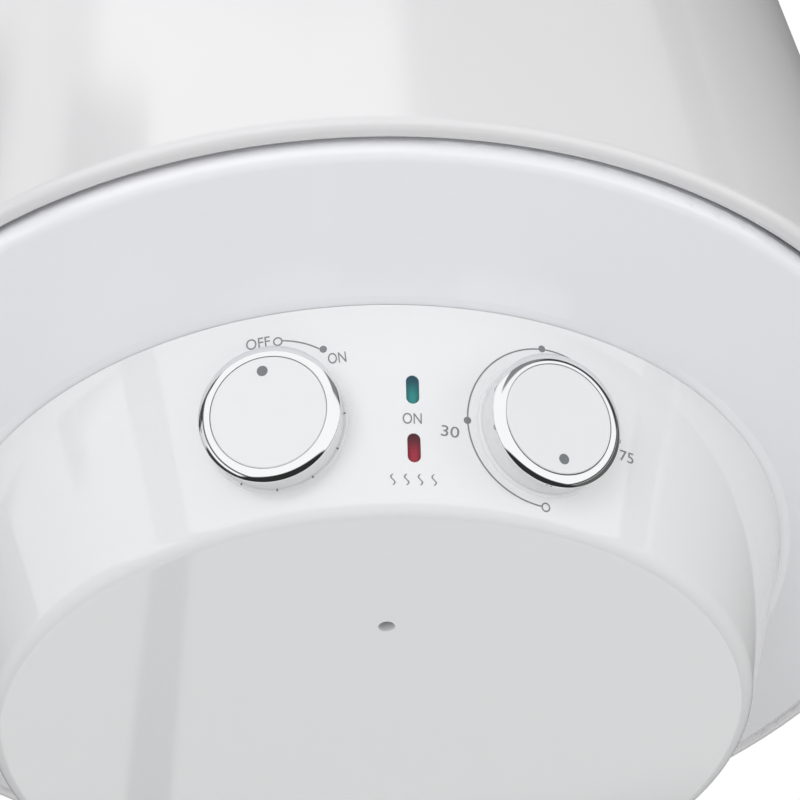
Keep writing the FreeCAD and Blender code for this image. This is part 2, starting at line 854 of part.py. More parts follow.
def make_flange():
    """The gasket, the plate that carries the element, and its bolts."""
    clearance_radius = s.flange_bolt_radius + s.bolt_clearance
    ring = tube("gasket", s.flange_radius, s.flange_bore, s.gasket_thickness, (0, 0, gasket_bottom))
    holes = [cylinder("gasket_hole", clearance_radius, s.gasket_thickness, (x, y, gasket_bottom))
             for x, y in bolt_places()]
    finish("flange_gasket", cut("flange_gasket", ring, *holes))

    plate = cylinder("flange_plate", s.flange_radius, s.flange_thickness, (0, 0, flange_bottom))
    earth_x, earth_y = earth_place()
    through = [(x, y, clearance_radius) for x, y in bolt_places()]
    through += [
        (s.element_spread, 0, s.element_radius),
        (-s.element_spread, 0, s.element_radius),
        (0, s.anode_offset, s.anode_stud_radius),
        (0, -s.pocket_offset, s.pocket_radius),
        (earth_x, earth_y, s.earth_stud_radius),
    ]
    holes = [cylinder("flange_hole", radius, s.flange_thickness, (x, y, flange_bottom))
             for x, y, radius in through]
    finish("element_flange", cut("element_flange", plate, *holes))

    bolts = []
    for x, y in bolt_places():
        head = hexagon("bolt_head", s.bolt_head_across, s.bolt_head_height,
                       (x, y, flange_bottom - s.bolt_head_height))
        length = s.flange_thickness + s.gasket_thickness + s.flange_bolt_grip
        shank = cylinder("bolt_shank", s.flange_bolt_radius, length, (x, y, flange_bottom))
        bolts.append(fuse("flange_bolt", head, shank))
    finish("flange_bolts", group("flange_bolts", bolts))


def make_element():
    """A hairpin element, its end insulators and terminal pins."""
    frame = heater_frame()
    spread = s.element_spread.value
    low = flange_bottom.value - s.element_tail.value
    high = flange_bottom.value + s.element_length.value - spread
    corners = [Vector(spread, 0, low), Vector(spread, 0, high), Vector(0, 0, high + spread),
               Vector(-spread, 0, high), Vector(-spread, 0, low)]
    first, bend, top, back, last = [frame.multVec(point) for point in corners]
    route = Part.Wire([Part.LineSegment(first, bend).toShape(), Part.Arc(bend, top, back).toShape(),
                       Part.LineSegment(back, last).toShape()])
    finish("heating_element", feature("element", swept("element", route, s.element_radius.value)))

    insulators = []
    pins = []
    end_level = flange_bottom - s.element_tail
    for side in (-1, 1):
        place_x = side * s.element_spread
        insulators.append(tube("insulator", s.insulator_radius, s.terminal_radius,
                               s.insulator_height, (place_x, 0, end_level - s.insulator_height)))
        pins.append(cylinder("terminal_pin", s.terminal_radius, s.terminal_length,
                             (place_x, 0, end_level - s.terminal_length)))
    finish("element_insulators", group("element_insulators", insulators))
    finish("element_terminals", group("element_terminals", pins))


def make_anode():
    place_y = s.anode_offset
    stud_low = flange_bottom - s.anode_stud_tail
    rod_low = gasket_bottom + s.anode_lift
    stud = cylinder("anode_stud", s.anode_stud_radius, rod_low - stud_low, (0, place_y, stud_low))
    rod = cylinder("anode_blank", s.anode_radius, s.anode_length, (0, place_y, rod_low))
    finish("anode_rod", fuse("anode_rod", rod, stud))
    nut_low = flange_bottom - s.anode_nut_height
    nut = hexagon("anode_nut_blank", s.bolt_head_across, s.anode_nut_height, (0, place_y, nut_low))
    hole = cylinder("anode_nut_hole", s.anode_stud_radius, s.anode_nut_height,
                    (0, place_y, nut_low))
    finish("anode_nut", cut("anode_nut", nut, hole))


def make_earth():
    x, y = earth_place()
    low = flange_bottom + s.flange_thickness - s.earth_stud_length
    finish("earth_stud", cylinder("earth_stud", s.earth_stud_radius, s.earth_stud_length,
                                  (x, y, low)))
    nut_low = flange_bottom - s.earth_nut_height
    nut = hexagon("earth_nut_blank", s.earth_nut_across, s.earth_nut_height, (x, y, nut_low))
    hole = cylinder("earth_nut_hole", s.earth_stud_radius, s.earth_nut_height, (x, y, nut_low))
    finish("earth_nut", cut("earth_nut", nut, hole))


def make_pocket():
    low = flange_bottom - s.element_tail
    outside = cylinder("pocket_outside", s.pocket_radius, s.pocket_length,
                       (0, -s.pocket_offset, low))
    inside = cylinder("pocket_inside", s.pocket_radius - s.pocket_wall,
                      s.pocket_length - s.pocket_wall, (0, -s.pocket_offset, low))
    finish("sensor_pocket", cut("sensor_pocket", outside, inside))


def thread_relief(side):
    """The groove at the inner end of a pipe's thread."""
    at = (side * s.pipe_spacing / 2, pipe_reach, pipe_end_level + s.thread_length)
    return tube("relief", collar_radius, thread_root, s.thread_relief, at)


def make_pipes():
    """Cold inlet on the right with a diffuser, hot outlet on the left that reaches the top."""
    low = pipe_end_level
    height = inlet_top_level - low
    half = s.pipe_spacing / 2
    inlet = tube("inlet", s.pipe_radius, s.pipe_bore, height, (half, pipe_reach, low))
    finish("cold_inlet_pipe", cut("cold_inlet_pipe", inlet, thread_relief(1)))

    cap_low = inlet_top_level - s.diffuser_overlap
    outer = s.pipe_radius + s.diffuser_wall
    cap = cylinder("diffuser_outside", outer, s.diffuser_height, (half, pipe_reach, cap_low))
    hollow = cylinder("diffuser_inside", s.pipe_radius, s.diffuser_height - s.diffuser_wall,
                      (half, pipe_reach, cap_low))
    slots = []
    slot_low = inlet_top_level + s.diffuser_wall
    slot_height = s.diffuser_height - s.diffuser_overlap - 3 * s.diffuser_wall
    for index in range(DIFFUSER_SLOTS):
        turn = FreeCAD.Rotation(Vector(0, 0, 1), 360 * index / DIFFUSER_SLOTS)
        slot = primitive("Box", "diffuser_slot",
                         {"Length": 2 * outer, "Width": s.diffuser_slot, "Height": slot_height},
                         (half, pipe_reach, slot_low), None, turn)
        slots.append(slot)
    finish("inlet_diffuser", cut("inlet_diffuser", cap, hollow, *slots))

    frame = heater_frame()
    joint = outlet_joint_level
    foot = Vector(-half.value, pipe_reach.value, joint.value)
    bend = Vector(-half.value, pipe_reach.value, outlet_bend_level.value)
    share = s.outlet_end_radius.value / pipe_circle.value
    end = Vector(bend.x * share, bend.y * share, outlet_end_level.value)
    route, radii = rounded_route([frame.multVec(point) for point in (foot, bend, end)])
    outside = feature("outlet_outside", swept("outlet_outside", route, s.pipe_radius.value))
    inside = feature("outlet_inside", swept("outlet_inside", route, s.pipe_bore.value))
    upper = cut("outlet_upper", outside, inside)
    lower = tube("outlet", s.pipe_radius, s.pipe_bore, joint - low, (-half, pipe_reach, low))
    outlet = fuse("outlet_blank", upper, lower)
    finish("hot_outlet_pipe", cut("hot_outlet_pipe", outlet, thread_relief(-1)))

    for side, node in ((1, "inlet_collar"), (-1, "outlet_collar")):
        station = cap_station(pipe_azimuth(side), pipe_circle.value)
        flange = cylinder(node + "_flange", collar_radius, s.collar_flange, (0, 0, 0), station)
        bush = cylinder(node + "_bush", collar_bush_radius, s.collar_bush_length,
                        (0, 0, -s.collar_bush_length), station)
        hole = pipe_tool(node + "_hole", side, s.pipe_radius + s.collar_clearance,
                         pipe_end_level, barrel_bottom)
        finish(node, cut(node, fuse(node + "_blank", flange, bush), hole))


def make_gland():
    """A cable gland at the back of the bottom cap; z of its frame points out and down."""
    frame = cap_station(180, gland_circle.value)
    thread = cylinder("gland_thread", s.gland_thread_radius, s.gland_thread_length,
                      (0, 0, -s.gland_thread_length), frame)
    flats = hexagon("gland_flats", s.gland_hex_across, s.gland_hex_height, (0, 0, 0), frame)
    neck = cylinder("gland_neck", s.gland_thread_radius, s.gland_neck_length,
                    (0, 0, s.gland_hex_height), frame)
    bore_length = s.gland_thread_length + s.gland_hex_height + s.gland_neck_length
    bore = cylinder("gland_bore", s.gland_body_bore, bore_length, (0, 0, -s.gland_thread_length),
                    frame)
    body = fuse("gland_blank", thread, flats, neck)
    finish("cable_gland_body", cut("cable_gland_body", body, bore))

    seal_low = s.gland_hex_height + s.gland_neck_length - s.gland_seal_length
    seal = tube("gland_seal", s.gland_body_bore, s.gland_cable_radius, s.gland_seal_length,
                (0, 0, seal_low), frame)
    finish("cable_gland_seal", seal)

    nose = s.gland_nut_length / 3
    barrel_length = s.gland_nut_length - nose
    barrel = cylinder("gland_nut_barrel", s.gland_nut_radius, barrel_length,
                      (0, 0, s.gland_hex_height), frame)
    dome = cone("gland_nut_dome", s.gland_nut_radius, s.gland_nut_nose, nose,
                (0, 0, s.gland_hex_height + barrel_length), frame)
    threads = cylinder("gland_nut_thread", s.gland_thread_radius, s.gland_neck_length,
                       (0, 0, s.gland_hex_height), frame)
    mouth = cylinder("gland_nut_mouth", s.gland_cable_radius + s.cover_screw_clearance,
                     s.gland_nut_length, (0, 0, s.gland_hex_height), frame)
    nut = fuse("gland_nut_blank", barrel, dome)
    finish("cable_gland_nut", cut("cable_gland_nut", nut, threads, mouth))

    lock_low = -s.cap_sheet - s.lens_clearance - s.gland_locknut_height
    lock = hexagon("gland_lock_blank", s.gland_locknut_across, s.gland_locknut_height,
                   (0, 0, lock_low), frame)
    hole = cylinder("gland_lock_hole", s.gland_thread_radius, s.gland_locknut_height,
                    (0, 0, lock_low), frame)
    finish("cable_gland_locknut", cut("cable_gland_locknut", lock, hole))


def shelf(name, azimuth, half_angle):
    """A level plate on the bottom cap's inner edge, from one azimuth to another."""
    height = s.bracket_sheet
    first = azimuth - 90 - half_angle.value
    turn = FreeCAD.Rotation(Vector(0, 0, 1), first)
    sector = primitive("Cylinder", name + "_sector",
                       {"Radius": shelf_outer_radius, "Height": height, "Angle": 2 * half_angle},
                       (0, 0, shelf_level), None, turn)
    middle = cylinder(name + "_middle", shelf_inner_radius, height, (0, 0, shelf_level))
    return cut(name + "_shelf", sector, middle)


def shelf_screw_azimuths():
    angle = s.shelf_screw_angle.value
    return (-angle, 0, angle, 180 - angle, 180 + angle)


def shelf_holes(name, azimuths):
    holes = []
    for azimuth in azimuths:
        outward = azimuth_vectors(azimuth)[0] * shelf_screw_circle.value
        holes.append(cylinder(name + "_hole", s.shelf_screw_radius, s.bracket_sheet,
                              (outward.x, outward.y, shelf_level)))
    return holes


def make_brackets():
    """The front bracket with a hanging plate square to each knob, and the rear service plate."""
    front = shelf("control_bracket", 0, s.shelf_half_angle)
    plates = []
    holes = shelf_holes("control_bracket", shelf_screw_azimuths()[:3])
    keep_height = shelf_level + s.bracket_sheet
    keep = centred_box("bracket_keep", 4 * s.casing_radius, 4 * s.casing_radius, keep_height)
    for side in (-1, 1):
        station = knob_station(side)
        reach = s.bracket_lower_reach + s.cover_depth
        plate = box("bracket_plate", 2 * s.bracket_half_width, reach, s.bracket_sheet,
                    (-s.bracket_half_width, -s.bracket_lower_reach,
                     -s.bracket_depth - s.bracket_sheet), station)
        plates.append(common("bracket_trimmed_plate", plate, keep))
        holes.append(cylinder("bracket_bush_hole", s.bush_radius, 3 * s.bracket_sheet,
                              (0, 0, -s.bracket_depth - 2 * s.bracket_sheet), station))
    bracket = cut("control_bracket", fuse("bracket_blank", front, *plates), *holes)
    finish("control_bracket", bracket)

    rear = shelf("service_plate", 180, s.service_half_angle)
    holes = shelf_holes("service_plate", shelf_screw_azimuths()[3:])
    finish("service_plate", cut("service_plate", rear, *holes))

    screws = []
    for azimuth in shelf_screw_azimuths():
        outward = azimuth_vectors(azimuth)[0] * shelf_screw_circle.value
        head_low = ring_level - s.shelf_screw_head_height
        head = cylinder("shelf_screw_head", s.shelf_screw_head, s.shelf_screw_head_height,
                        (outward.x, outward.y, head_low))
        shank = cylinder("shelf_screw_shank", s.shelf_screw_radius, s.shelf_screw_length,
                         (outward.x, outward.y, ring_level))
        screws.append(fuse("shelf_screw", head, shank))
    finish("bracket_screws", group("bracket_screws", screws))


def knob_station(side):
    return cone_station(side * s.knob_azimuth.value, s.knob_level.value)


def control_body(name, station, width, height, depth):
    """A switch or thermostat: a case behind the bracket with a threaded bush through it."""
    back = -s.bracket_depth - s.bracket_sheet
    case = centred_box(name + "_case", width, height, depth, (0, 0, back - depth), station)
    bush = cylinder(name + "_bush", s.bush_radius, s.bush_length, (0, 0, back), station)
    bore = cylinder(name + "_bore", s.spindle_radius + s.spindle_clearance,
                    s.spindle_depth + spindle_top, (0, 0, -s.spindle_depth - s.spindle_clearance),
                    station)
    return cut(name, fuse(name + "_blank", case, bush), bore)


def blades(name, station, depth, rows):
    """The flat push-on terminals on the back of a switch or thermostat."""
    back = -s.bracket_depth - s.bracket_sheet - depth
    items = []
    for column in (-1, 1):
        for row in rows:
            at = (column * s.blade_pitch / 2, row * s.blade_row, back - s.blade_length)
            items.append(centred_box(name + "_blade", s.blade_width, s.blade_thickness,
                                     s.blade_length, at, station))
    return items


def bush_nut(name, station):
    blank = hexagon(name + "_blank", s.bush_nut_across, s.bush_nut_height,
                    (0, 0, -s.bracket_depth), station)
    hole = cylinder(name + "_hole", s.bush_radius, s.bush_nut_height, (0, 0, -s.bracket_depth),
                    station)
    return cut(name, blank, hole)


def make_spindle(name, station):
    round_bar = cylinder(name + "_bar", s.spindle_radius, s.spindle_depth + spindle_top,
                         (0, 0, -s.spindle_depth), station)
    flat = box(name + "_flat", 2 * s.spindle_radius, s.spindle_radius, s.spindle_flat_length,
               (-s.spindle_radius, s.spindle_flat, spindle_top - s.spindle_flat_length), station)
    return finish(name, cut(name, round_bar, flat))


def make_knob(name, station, spindle):
    """A white skirt with a hub on the spindle, a chrome ring around it and a white face."""
    web_low = web_top - s.web_thickness
    blank = revolved(name + "_body_blank", [
        Line(s.hub_radius, s.hub_start),
        Line(s.hub_radius, web_low),
        Line(s.ring_inner_radius - s.skirt_wall, web_low),
        Line(s.skirt_base_radius - s.skirt_wall, skirt_base),
        Line(s.skirt_base_radius, skirt_base),
        Line(s.skirt_top_radius, skirt_top),
        Line(s.ring_inner_radius, skirt_top),
        Line(s.ring_inner_radius, web_top),
        Line(0, web_top),
        Line(0, s.hub_start),
    ], station)
    finish(name + "_body", cut(name + "_body", blank, spindle))

    drop = ring_centre_height - skirt_top
    low_radius = ring_centre_radius + root(s.ring_section * s.ring_section - drop * drop)
    inset = ring_centre_radius - s.ring_inner_radius
    high = ring_centre_height + root(s.ring_section * s.ring_section - inset * inset)
    finish(name + "_ring", revolved(name + "_ring", [
        Line(s.ring_inner_radius, skirt_top),
        Line(low_radius, skirt_top),
        Arc(s.ring_inner_radius, high, ring_centre_radius, ring_centre_height),
    ], station))

    edge = s.face_edge
    finish(name + "_face", revolved(name + "_face", [
        Line(0, web_top),
        Line(face_radius, web_top),
        Line(face_radius, face_top - edge),
        Arc(face_radius - edge, face_top, face_radius - edge, face_top - edge),
        Line(0, face_top),
    ], station))


def make_controls():
    left = knob_station(-1)
    right = knob_station(1)
    finish("switch_body", control_body("switch_body", left, s.switch_width, s.switch_height,
                                       s.switch_depth))
    finish("thermostat_body", control_body("thermostat_body", right, s.thermostat_width,
                                           s.thermostat_height, s.thermostat_depth))
    tabs = blades("switch", left, s.switch_depth, (-1, 1))
    tabs += blades("thermostat", right, s.thermostat_depth, (-1,))
    finish("blade_terminals", group("blade_terminals", tabs))
    nuts = [bush_nut("switch_nut", left), bush_nut("thermostat_nut", right)]
    finish("control_nuts", group("control_nuts", nuts))
    for name, station in (("switch", left), ("thermostat", right)):
        spindle = make_spindle(name + "_spindle", station)
        make_knob(name + "_knob", station, spindle)


def stadium(name, width, length, height, low, station):
    """A bar with two round ends, long up the cone."""
    straight = length - width
    items = [centred_box(name + "_bar", width, straight, height, (0, 0, low), station)]
    for side in (-1, 1):
        items.append(cylinder(name + "_end", width / 2, height, (0, side * straight / 2, low),
                              station))
    return fuse(name, *items)


def lamp_station(level):
    return cone_station(0, level.value)


def make_lamps():
    back = -s.cover_wall - s.lens_flange_thickness
    lamps = []
    for node, level in (("power", s.power_lamp_level), ("heating", s.heating_lamp_level)):
        station = lamp_station(level)
        slim = s.lens_width - 2 * s.lens_clearance
        window = stadium(node + "_window", slim, s.lens_length - 2 * s.lens_clearance,
                         -back - s.lens_recess, back, station)
        wide = s.lens_width + 2 * s.lens_flange
        flange = stadium(node + "_flange", wide, s.lens_length + 2 * s.lens_flange,
                         s.lens_flange_thickness, back - 2 * s.lens_clearance, station)
        finish(node + "_lens", fuse(node + "_lens", window, flange))
        lamp_top = back - 2 * s.lens_clearance
        lamps.append(cylinder(node + "_lamp", s.lamp_radius, s.lamp_length,
                              (0, 0, lamp_top - s.lamp_length), station))
    finish("indicator_lamps", group("indicator_lamps", lamps))


def cover_screw_places():
    places = []
    for azimuth in (-s.cover_screw_turn.value, 180 - s.cover_screw_turn.value):
        outward = azimuth_vectors(azimuth)[0] * s.cover_screw_radius.value
        places.append((outward.x, outward.y))
    return places


def make_cover():
    """The cone with its flat bottom, knob pads, lamp windows and screw wells."""
    tilt = s.cover_tilt
    wall = s.cover_wall
    edge = s.cover_edge
    reach = edge * tangent((90 - tilt) / 2)
    sideways = wall / cosine(tilt)
    floor_radius = cover_disc_radius + wall * tangent(tilt) - sideways
    shell = revolved("cover_shell", [
        Line(cover_disc_radius - reach, 0),
        Arc(cover_disc_radius + reach * sine(tilt), reach * cosine(tilt),
            cover_disc_radius - reach, edge),
        Line(cover_lip_radius, cover_lip_level),
        Line(cover_seam_radius, seam_level),
        Line(cover_seam_radius - wall, seam_level),
        Line(cover_lip_radius - sideways, cover_lip_level),
        Line(floor_radius, wall),
        Line(0, wall),
        Line(0, 0),
    ])
    solids = [shell]
    holes = []
    for side in (-1, 1):
        station = knob_station(side)
        pad_depth = s.pad_rise + wall
        solids.append(cylinder("knob_pad", pad_radius, pad_depth, (0, 0, -wall), station))
        holes.append(cylinder("spindle_hole", s.spindle_hole, 2 * pad_depth, (0, 0, -pad_depth),
                              station))
    for level in (s.power_lamp_level, s.heating_lamp_level):
        holes.append(stadium("lamp_hole", s.lens_width, s.lens_length, 3 * wall, -2 * wall,
                             lamp_station(level)))
    for x, y in cover_screw_places():
        solids.append(cylinder("cover_boss", s.cover_boss_radius, s.cover_boss_height, (x, y, 0)))
        holes.append(cylinder("screw_well", s.screw_well_radius, s.screw_well_depth, (x, y, 0)))
        clear = s.cover_screw_shank + s.cover_screw_clearance
        holes.append(cylinder("screw_hole", clear, s.cover_boss_height, (x, y, 0)))
    finish("control_cover", cut("control_cover", fuse("cover_blank", *solids), *holes))


def make_cover_fixings():
    """Posts welded to the tank, and the screws that hold the cover to them."""
    dome = revolved("dome_room", [
        Arc(tank_radius, barrel_bottom, 0, tank_bottom + dome_radius),
        Line(0, barrel_bottom),
        Line(0, tank_bottom),
    ])
    posts = []
    screws = []
    for x, y in cover_screw_places():
        height = barrel_bottom - s.cover_boss_height
        post = cylinder("post", s.post_radius, height, (x, y, s.cover_boss_height))
        thread = cylinder("post_thread", s.cover_screw_shank, s.cover_screw_length,
                          (x, y, s.screw_well_depth))
        posts.append(cut("cover_post", post, dome, thread))
        head_low = s.screw_well_depth - s.cover_screw_head_height
        head = cylinder("cover_screw_head", s.cover_screw_head, s.cover_screw_head_height,
                        (x, y, head_low))
        shank = cylinder("cover_screw_shank", s.cover_screw_shank, s.cover_screw_length,
                         (x, y, s.screw_well_depth))
        slot = centred_box("cover_screw_slot", 2 * s.cover_screw_head, s.screw_slot_width,
                           s.screw_slot_depth, (x, y, head_low))
        screws.append(cut("cover_screw", fuse("cover_screw_blank", head, shank), slot))
    finish("cover_posts", group("cover_posts", posts))
    finish("cover_screws", group("cover_screws", screws))


def cutout_station():
    return hanging_station(s.cutout_azimuth.value, service_circle.value, shelf_level.value)


def block_station():
    return hanging_station(s.block_azimuth.value, service_circle.value, shelf_level.value)


def make_service_parts():
    """The thermal cut-out with its reset button, and the terminal block with its screws."""
    station = cutout_station()
    case = centred_box("cutout_case", s.cutout_width, s.cutout_depth, s.cutout_height, (0, 0, 0),
                       station)
    inside = s.button_length - s.button_proud
    room = inside + s.button_travel + s.button_clearance
    bore = cylinder("button_bore", s.button_radius + s.button_clearance, room,
                    (0, 0, s.cutout_height - room), station)
    finish("thermal_cutout", cut("thermal_cutout", case, bore))
    finish("reset_button", cylinder("reset_button", s.button_radius, s.button_length,
                                    (0, 0, s.cutout_height - inside), station))

    station = block_station()
    case = centred_box("block_case", s.block_width, s.block_depth, s.block_height, (0, 0, 0),
                       station)
    wells = []
    screws = []
    ways = int(s.block_ways.value)
    for way in range(ways):
        x = (way - (ways - 1) / 2) * s.block_pitch
        at = (x, 0, s.block_height - s.block_screw_length)
        wells.append(cylinder("block_well", s.block_screw_radius, s.block_screw_length, at, station))
        screws.append(cylinder("block_screw", s.block_screw_radius, s.block_screw_length, at,
                               station))
    finish("terminal_block", cut("terminal_block", case, *wells))
    finish("terminal_screws", group("terminal_screws", screws))


def local_point(station, x, y, z):
    """A point of a station, in the heater's own frame."""
    point = heater_frame().inverse().multVec(station.multVec(Vector(x, y, z)))
    return point.x, point.y, point.z


def make_sensors():
    """The capillary tubes of the thermostat and the cut-out, with their bulbs in the pocket."""
    pocket_y = -s.pocket_offset.value
    mouth = flange_bottom.value - s.element_tail.value
    bulb_low = mouth + s.bulb_length.value / 5
    right = knob_station(1)
    back = -(s.bracket_depth + s.bracket_sheet + s.thermostat_depth).value
    case_corner = s.thermostat_height.value / 2 - 4
    start = local_point(right, -12, case_corner, back)
    away = local_point(right, -12, case_corner, back - 12)
    x = s.bulb_spread.value
    radius = s.capillary_radius.value
    line = routed("thermostat_capillary", [
        start, away, (12, -58, 40), (7, -32, 36), (x, pocket_y, 46), (x, pocket_y, bulb_low),
    ], radius)
    bulb = cylinder("thermostat_bulb", s.bulb_radius, s.bulb_length,
                    (s.bulb_spread, -s.pocket_offset, bulb_low))
    finish("thermostat_sensor", fuse("thermostat_sensor", line, bulb))

    station = cutout_station()
    inner_face = -s.cutout_depth.value / 2
    middle = s.cutout_height.value / 2
    line = routed("cutout_capillary", [
        local_point(station, -8, inner_face, middle),
        local_point(station, -8, inner_face - 20, middle),
        (-30, 40, 44), (-16, -2, 38), (-x, pocket_y, 44), (-x, pocket_y, bulb_low),
    ], radius)
    bulb = cylinder("cutout_bulb", s.bulb_radius, s.bulb_length,
                    (-s.bulb_spread, -s.pocket_offset, bulb_low))
    finish("cutout_sensor", fuse("cutout_sensor", line, bulb))


def make_wall_parts():
    """The welded wall bracket with two holes, and the spacer that keeps the heater upright."""
    half = s.wall_plate_length / 2
    low = hang_level - s.wall_plate_height / 2
    plate = box("wall_plate", s.wall_plate_length, s.wall_plate_sheet, s.wall_plate_height,
                (-half, axis_to_wall - s.wall_plate_sheet, low))
    arms = bracket_slots("bracket_arm", as_size(0))
    tank = cylinder("bracket_tank_room", tank_radius, s.barrel_length, (0, 0, barrel_bottom))
    holes = []
    upright = FreeCAD.Rotation(Vector(1, 0, 0), -90)
    for side in (-1, 1):
        holes.append(cylinder("wall_hole", s.wall_hole_radius, 3 * s.wall_plate_sheet,
                              (side * s.wall_hole_spacing / 2, axis_to_wall - 2 * s.wall_plate_sheet,
                               hang_level), None, upright))
    finish("wall_bracket", cut("wall_bracket", fuse("bracket_frame", plate, *arms), tank, *holes))

    block = cylinder("spacer_blank", s.spacer_radius, 2 * s.wall_gap,
                     (0, axis_to_wall - 2 * s.wall_gap, spacer_level), None, upright)
    casing = cylinder("spacer_casing_room", s.casing_radius, 4 * s.spacer_radius,
                      (0, 0, spacer_level - 2 * s.spacer_radius))
    finish("wall_spacer", cut("wall_spacer", block, casing))


def make_wires():
    """The heater's own wires, each clear of the other parts and of the other wires."""
    left = knob_station(-1)
    right = knob_station(1)
    block = block_station()
    tail = (s.bracket_depth + s.bracket_sheet + s.blade_length).value
    switch_back = -tail - s.switch_depth.value
    thermostat_back = -tail - s.thermostat_depth.value
    pitch = s.blade_pitch.value / 2
    row = -s.blade_row.value
    face = -s.block_depth.value / 2
    middle = s.block_height.value / 2
    step = s.block_pitch.value
    radius = s.wire_radius.value
    spread = s.element_spread.value
    pin_end = (flange_bottom - s.element_tail - s.terminal_length).value
    earth_x, earth_y = [size.value for size in earth_place()]
    earth_end = (flange_bottom + s.flange_thickness - s.earth_stud_length).value

    live = routed("live_wire", [
        local_point(block, 1.5 * step, face, middle),
        local_point(block, 1.5 * step, face - 20, middle),
        (-24, 66, 32), (-56, 26, 26), (-62, -30, 26),
        local_point(left, -pitch, row, switch_back - 18),
        local_point(left, -pitch, row, switch_back),
    ], radius)
    link = routed("link_wire", [
        local_point(left, pitch, row, switch_back),
        local_point(left, pitch, row, switch_back - 12),
        local_point(right, -pitch, row, thermostat_back - 12),
        local_point(right, -pitch, row, thermostat_back),
    ], radius)
    switched = routed("switched_wire", [
        local_point(right, pitch, row, thermostat_back),
        local_point(right, pitch, row, thermostat_back - 16),
        (44, -36, 28), (spread, 0, 26), (spread, 0, pin_end),
    ], radius)
    finish("brown_wires", group("brown_wires", [live, link, switched]))

    finish("neutral_wire", routed("neutral_wire", [
        local_point(block, 0.5 * step, face, middle),
        local_point(block, 0.5 * step, face - 20, middle),
        (16, 62, 38), (-8, 34, 30), (-spread, 0, 24), (-spread, 0, pin_end),
    ], radius))
    finish("earth_wire", routed("earth_wire", [
        local_point(block, -1.5 * step, face, middle),
        local_point(block, -1.5 * step, face - 20, middle),
        (42, 56, 34), (earth_x, earth_y, 30), (earth_x, earth_y, earth_end),
    ], radius))


def build():
    make_casing()
    make_bottom_cap()
    make_tank()
    make_foam()
    make_flange()
    make_element()
    make_anode()
    make_earth()
    make_pocket()
    make_pipes()
    make_gland()
    make_brackets()
    make_controls()
    make_lamps()
    make_cover()
    make_cover_fixings()
    make_service_parts()
    make_sensors()
    make_wall_parts()
    make_wires()
    doc.recompute()


def check():
    """Stop if any object failed, or if a sub-part has no sound shape."""
    for item in doc.Objects:
        if "Invalid" in item.State or "Error" in item.State:
            raise RuntimeError("%s failed: %s" % (item.Label, item.State))
    for item in nodes:
        if item.Shape.isNull() or not item.Shape.isValid() or not item.Shape.Solids:
            raise RuntimeError("%s has no sound shape" % item.Label)


def write():
    os.makedirs("parts", exist_ok=True)
    for item in nodes:
        item.Shape.exportStep("parts/%s.step" % item.Label)
    print("%d nodes written" % len(nodes))


build()
check()
write()
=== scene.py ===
"""Looks of a wall-hung electric storage water heater, seen from below its control cover.

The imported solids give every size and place. Lengths here are metres in the row frame: +Z is up,
the wall is at y = 0 and the heater's front looks along -Y. Heights named level are counted from
the lowest face of the control cover.
"""

import json
import logging
import math
from dataclasses import dataclass
from enum import Enum
from typing import Any, Callable, Iterable, Sequence

import bmesh
import bpy
from mathutils import Matrix, Vector

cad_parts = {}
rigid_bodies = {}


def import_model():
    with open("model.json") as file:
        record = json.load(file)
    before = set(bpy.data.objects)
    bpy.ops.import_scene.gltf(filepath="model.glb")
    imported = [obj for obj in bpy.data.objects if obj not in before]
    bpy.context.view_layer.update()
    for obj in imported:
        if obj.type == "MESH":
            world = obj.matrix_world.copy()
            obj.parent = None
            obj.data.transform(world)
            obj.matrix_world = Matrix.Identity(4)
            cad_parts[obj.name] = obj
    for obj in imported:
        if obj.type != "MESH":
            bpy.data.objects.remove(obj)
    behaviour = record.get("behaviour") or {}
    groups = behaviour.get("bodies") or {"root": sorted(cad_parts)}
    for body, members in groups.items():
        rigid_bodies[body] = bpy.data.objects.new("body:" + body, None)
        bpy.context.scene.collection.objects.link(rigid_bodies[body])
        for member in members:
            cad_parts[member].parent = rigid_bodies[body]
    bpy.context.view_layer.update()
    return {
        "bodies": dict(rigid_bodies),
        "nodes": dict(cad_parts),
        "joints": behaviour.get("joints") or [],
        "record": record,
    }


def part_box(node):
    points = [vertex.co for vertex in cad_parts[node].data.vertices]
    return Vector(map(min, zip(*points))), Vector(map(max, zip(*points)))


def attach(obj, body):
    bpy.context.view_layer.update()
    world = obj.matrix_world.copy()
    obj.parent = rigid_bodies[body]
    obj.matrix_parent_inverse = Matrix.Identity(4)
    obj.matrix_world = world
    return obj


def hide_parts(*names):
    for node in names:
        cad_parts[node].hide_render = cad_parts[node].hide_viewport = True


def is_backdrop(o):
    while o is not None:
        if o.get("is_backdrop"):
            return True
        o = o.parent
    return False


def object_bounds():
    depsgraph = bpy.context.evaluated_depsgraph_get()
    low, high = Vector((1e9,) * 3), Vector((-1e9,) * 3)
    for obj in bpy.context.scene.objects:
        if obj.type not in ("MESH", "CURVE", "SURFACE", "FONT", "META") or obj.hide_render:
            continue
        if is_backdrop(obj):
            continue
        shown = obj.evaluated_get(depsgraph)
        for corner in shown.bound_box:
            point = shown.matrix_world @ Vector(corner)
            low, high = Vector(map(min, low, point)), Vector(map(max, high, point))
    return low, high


Material = bpy.types.Material
Mesh = bpy.types.Mesh
Socket = bpy.types.NodeSocket
Solid = bmesh.types.BMesh
Colour = tuple[float, float, float]
Place = tuple[float, float]
Point = tuple[float, float, float]
Outline = list[Place]
Inputs = dict[Any, Any]

LOG = logging.getLogger("water_heater")
MM = 0.001
UP = Vector((0.0, 0.0, 1.0))
WHITE = (1.0, 1.0, 1.0)
CRISP_ANGLE = math.radians(28.0)


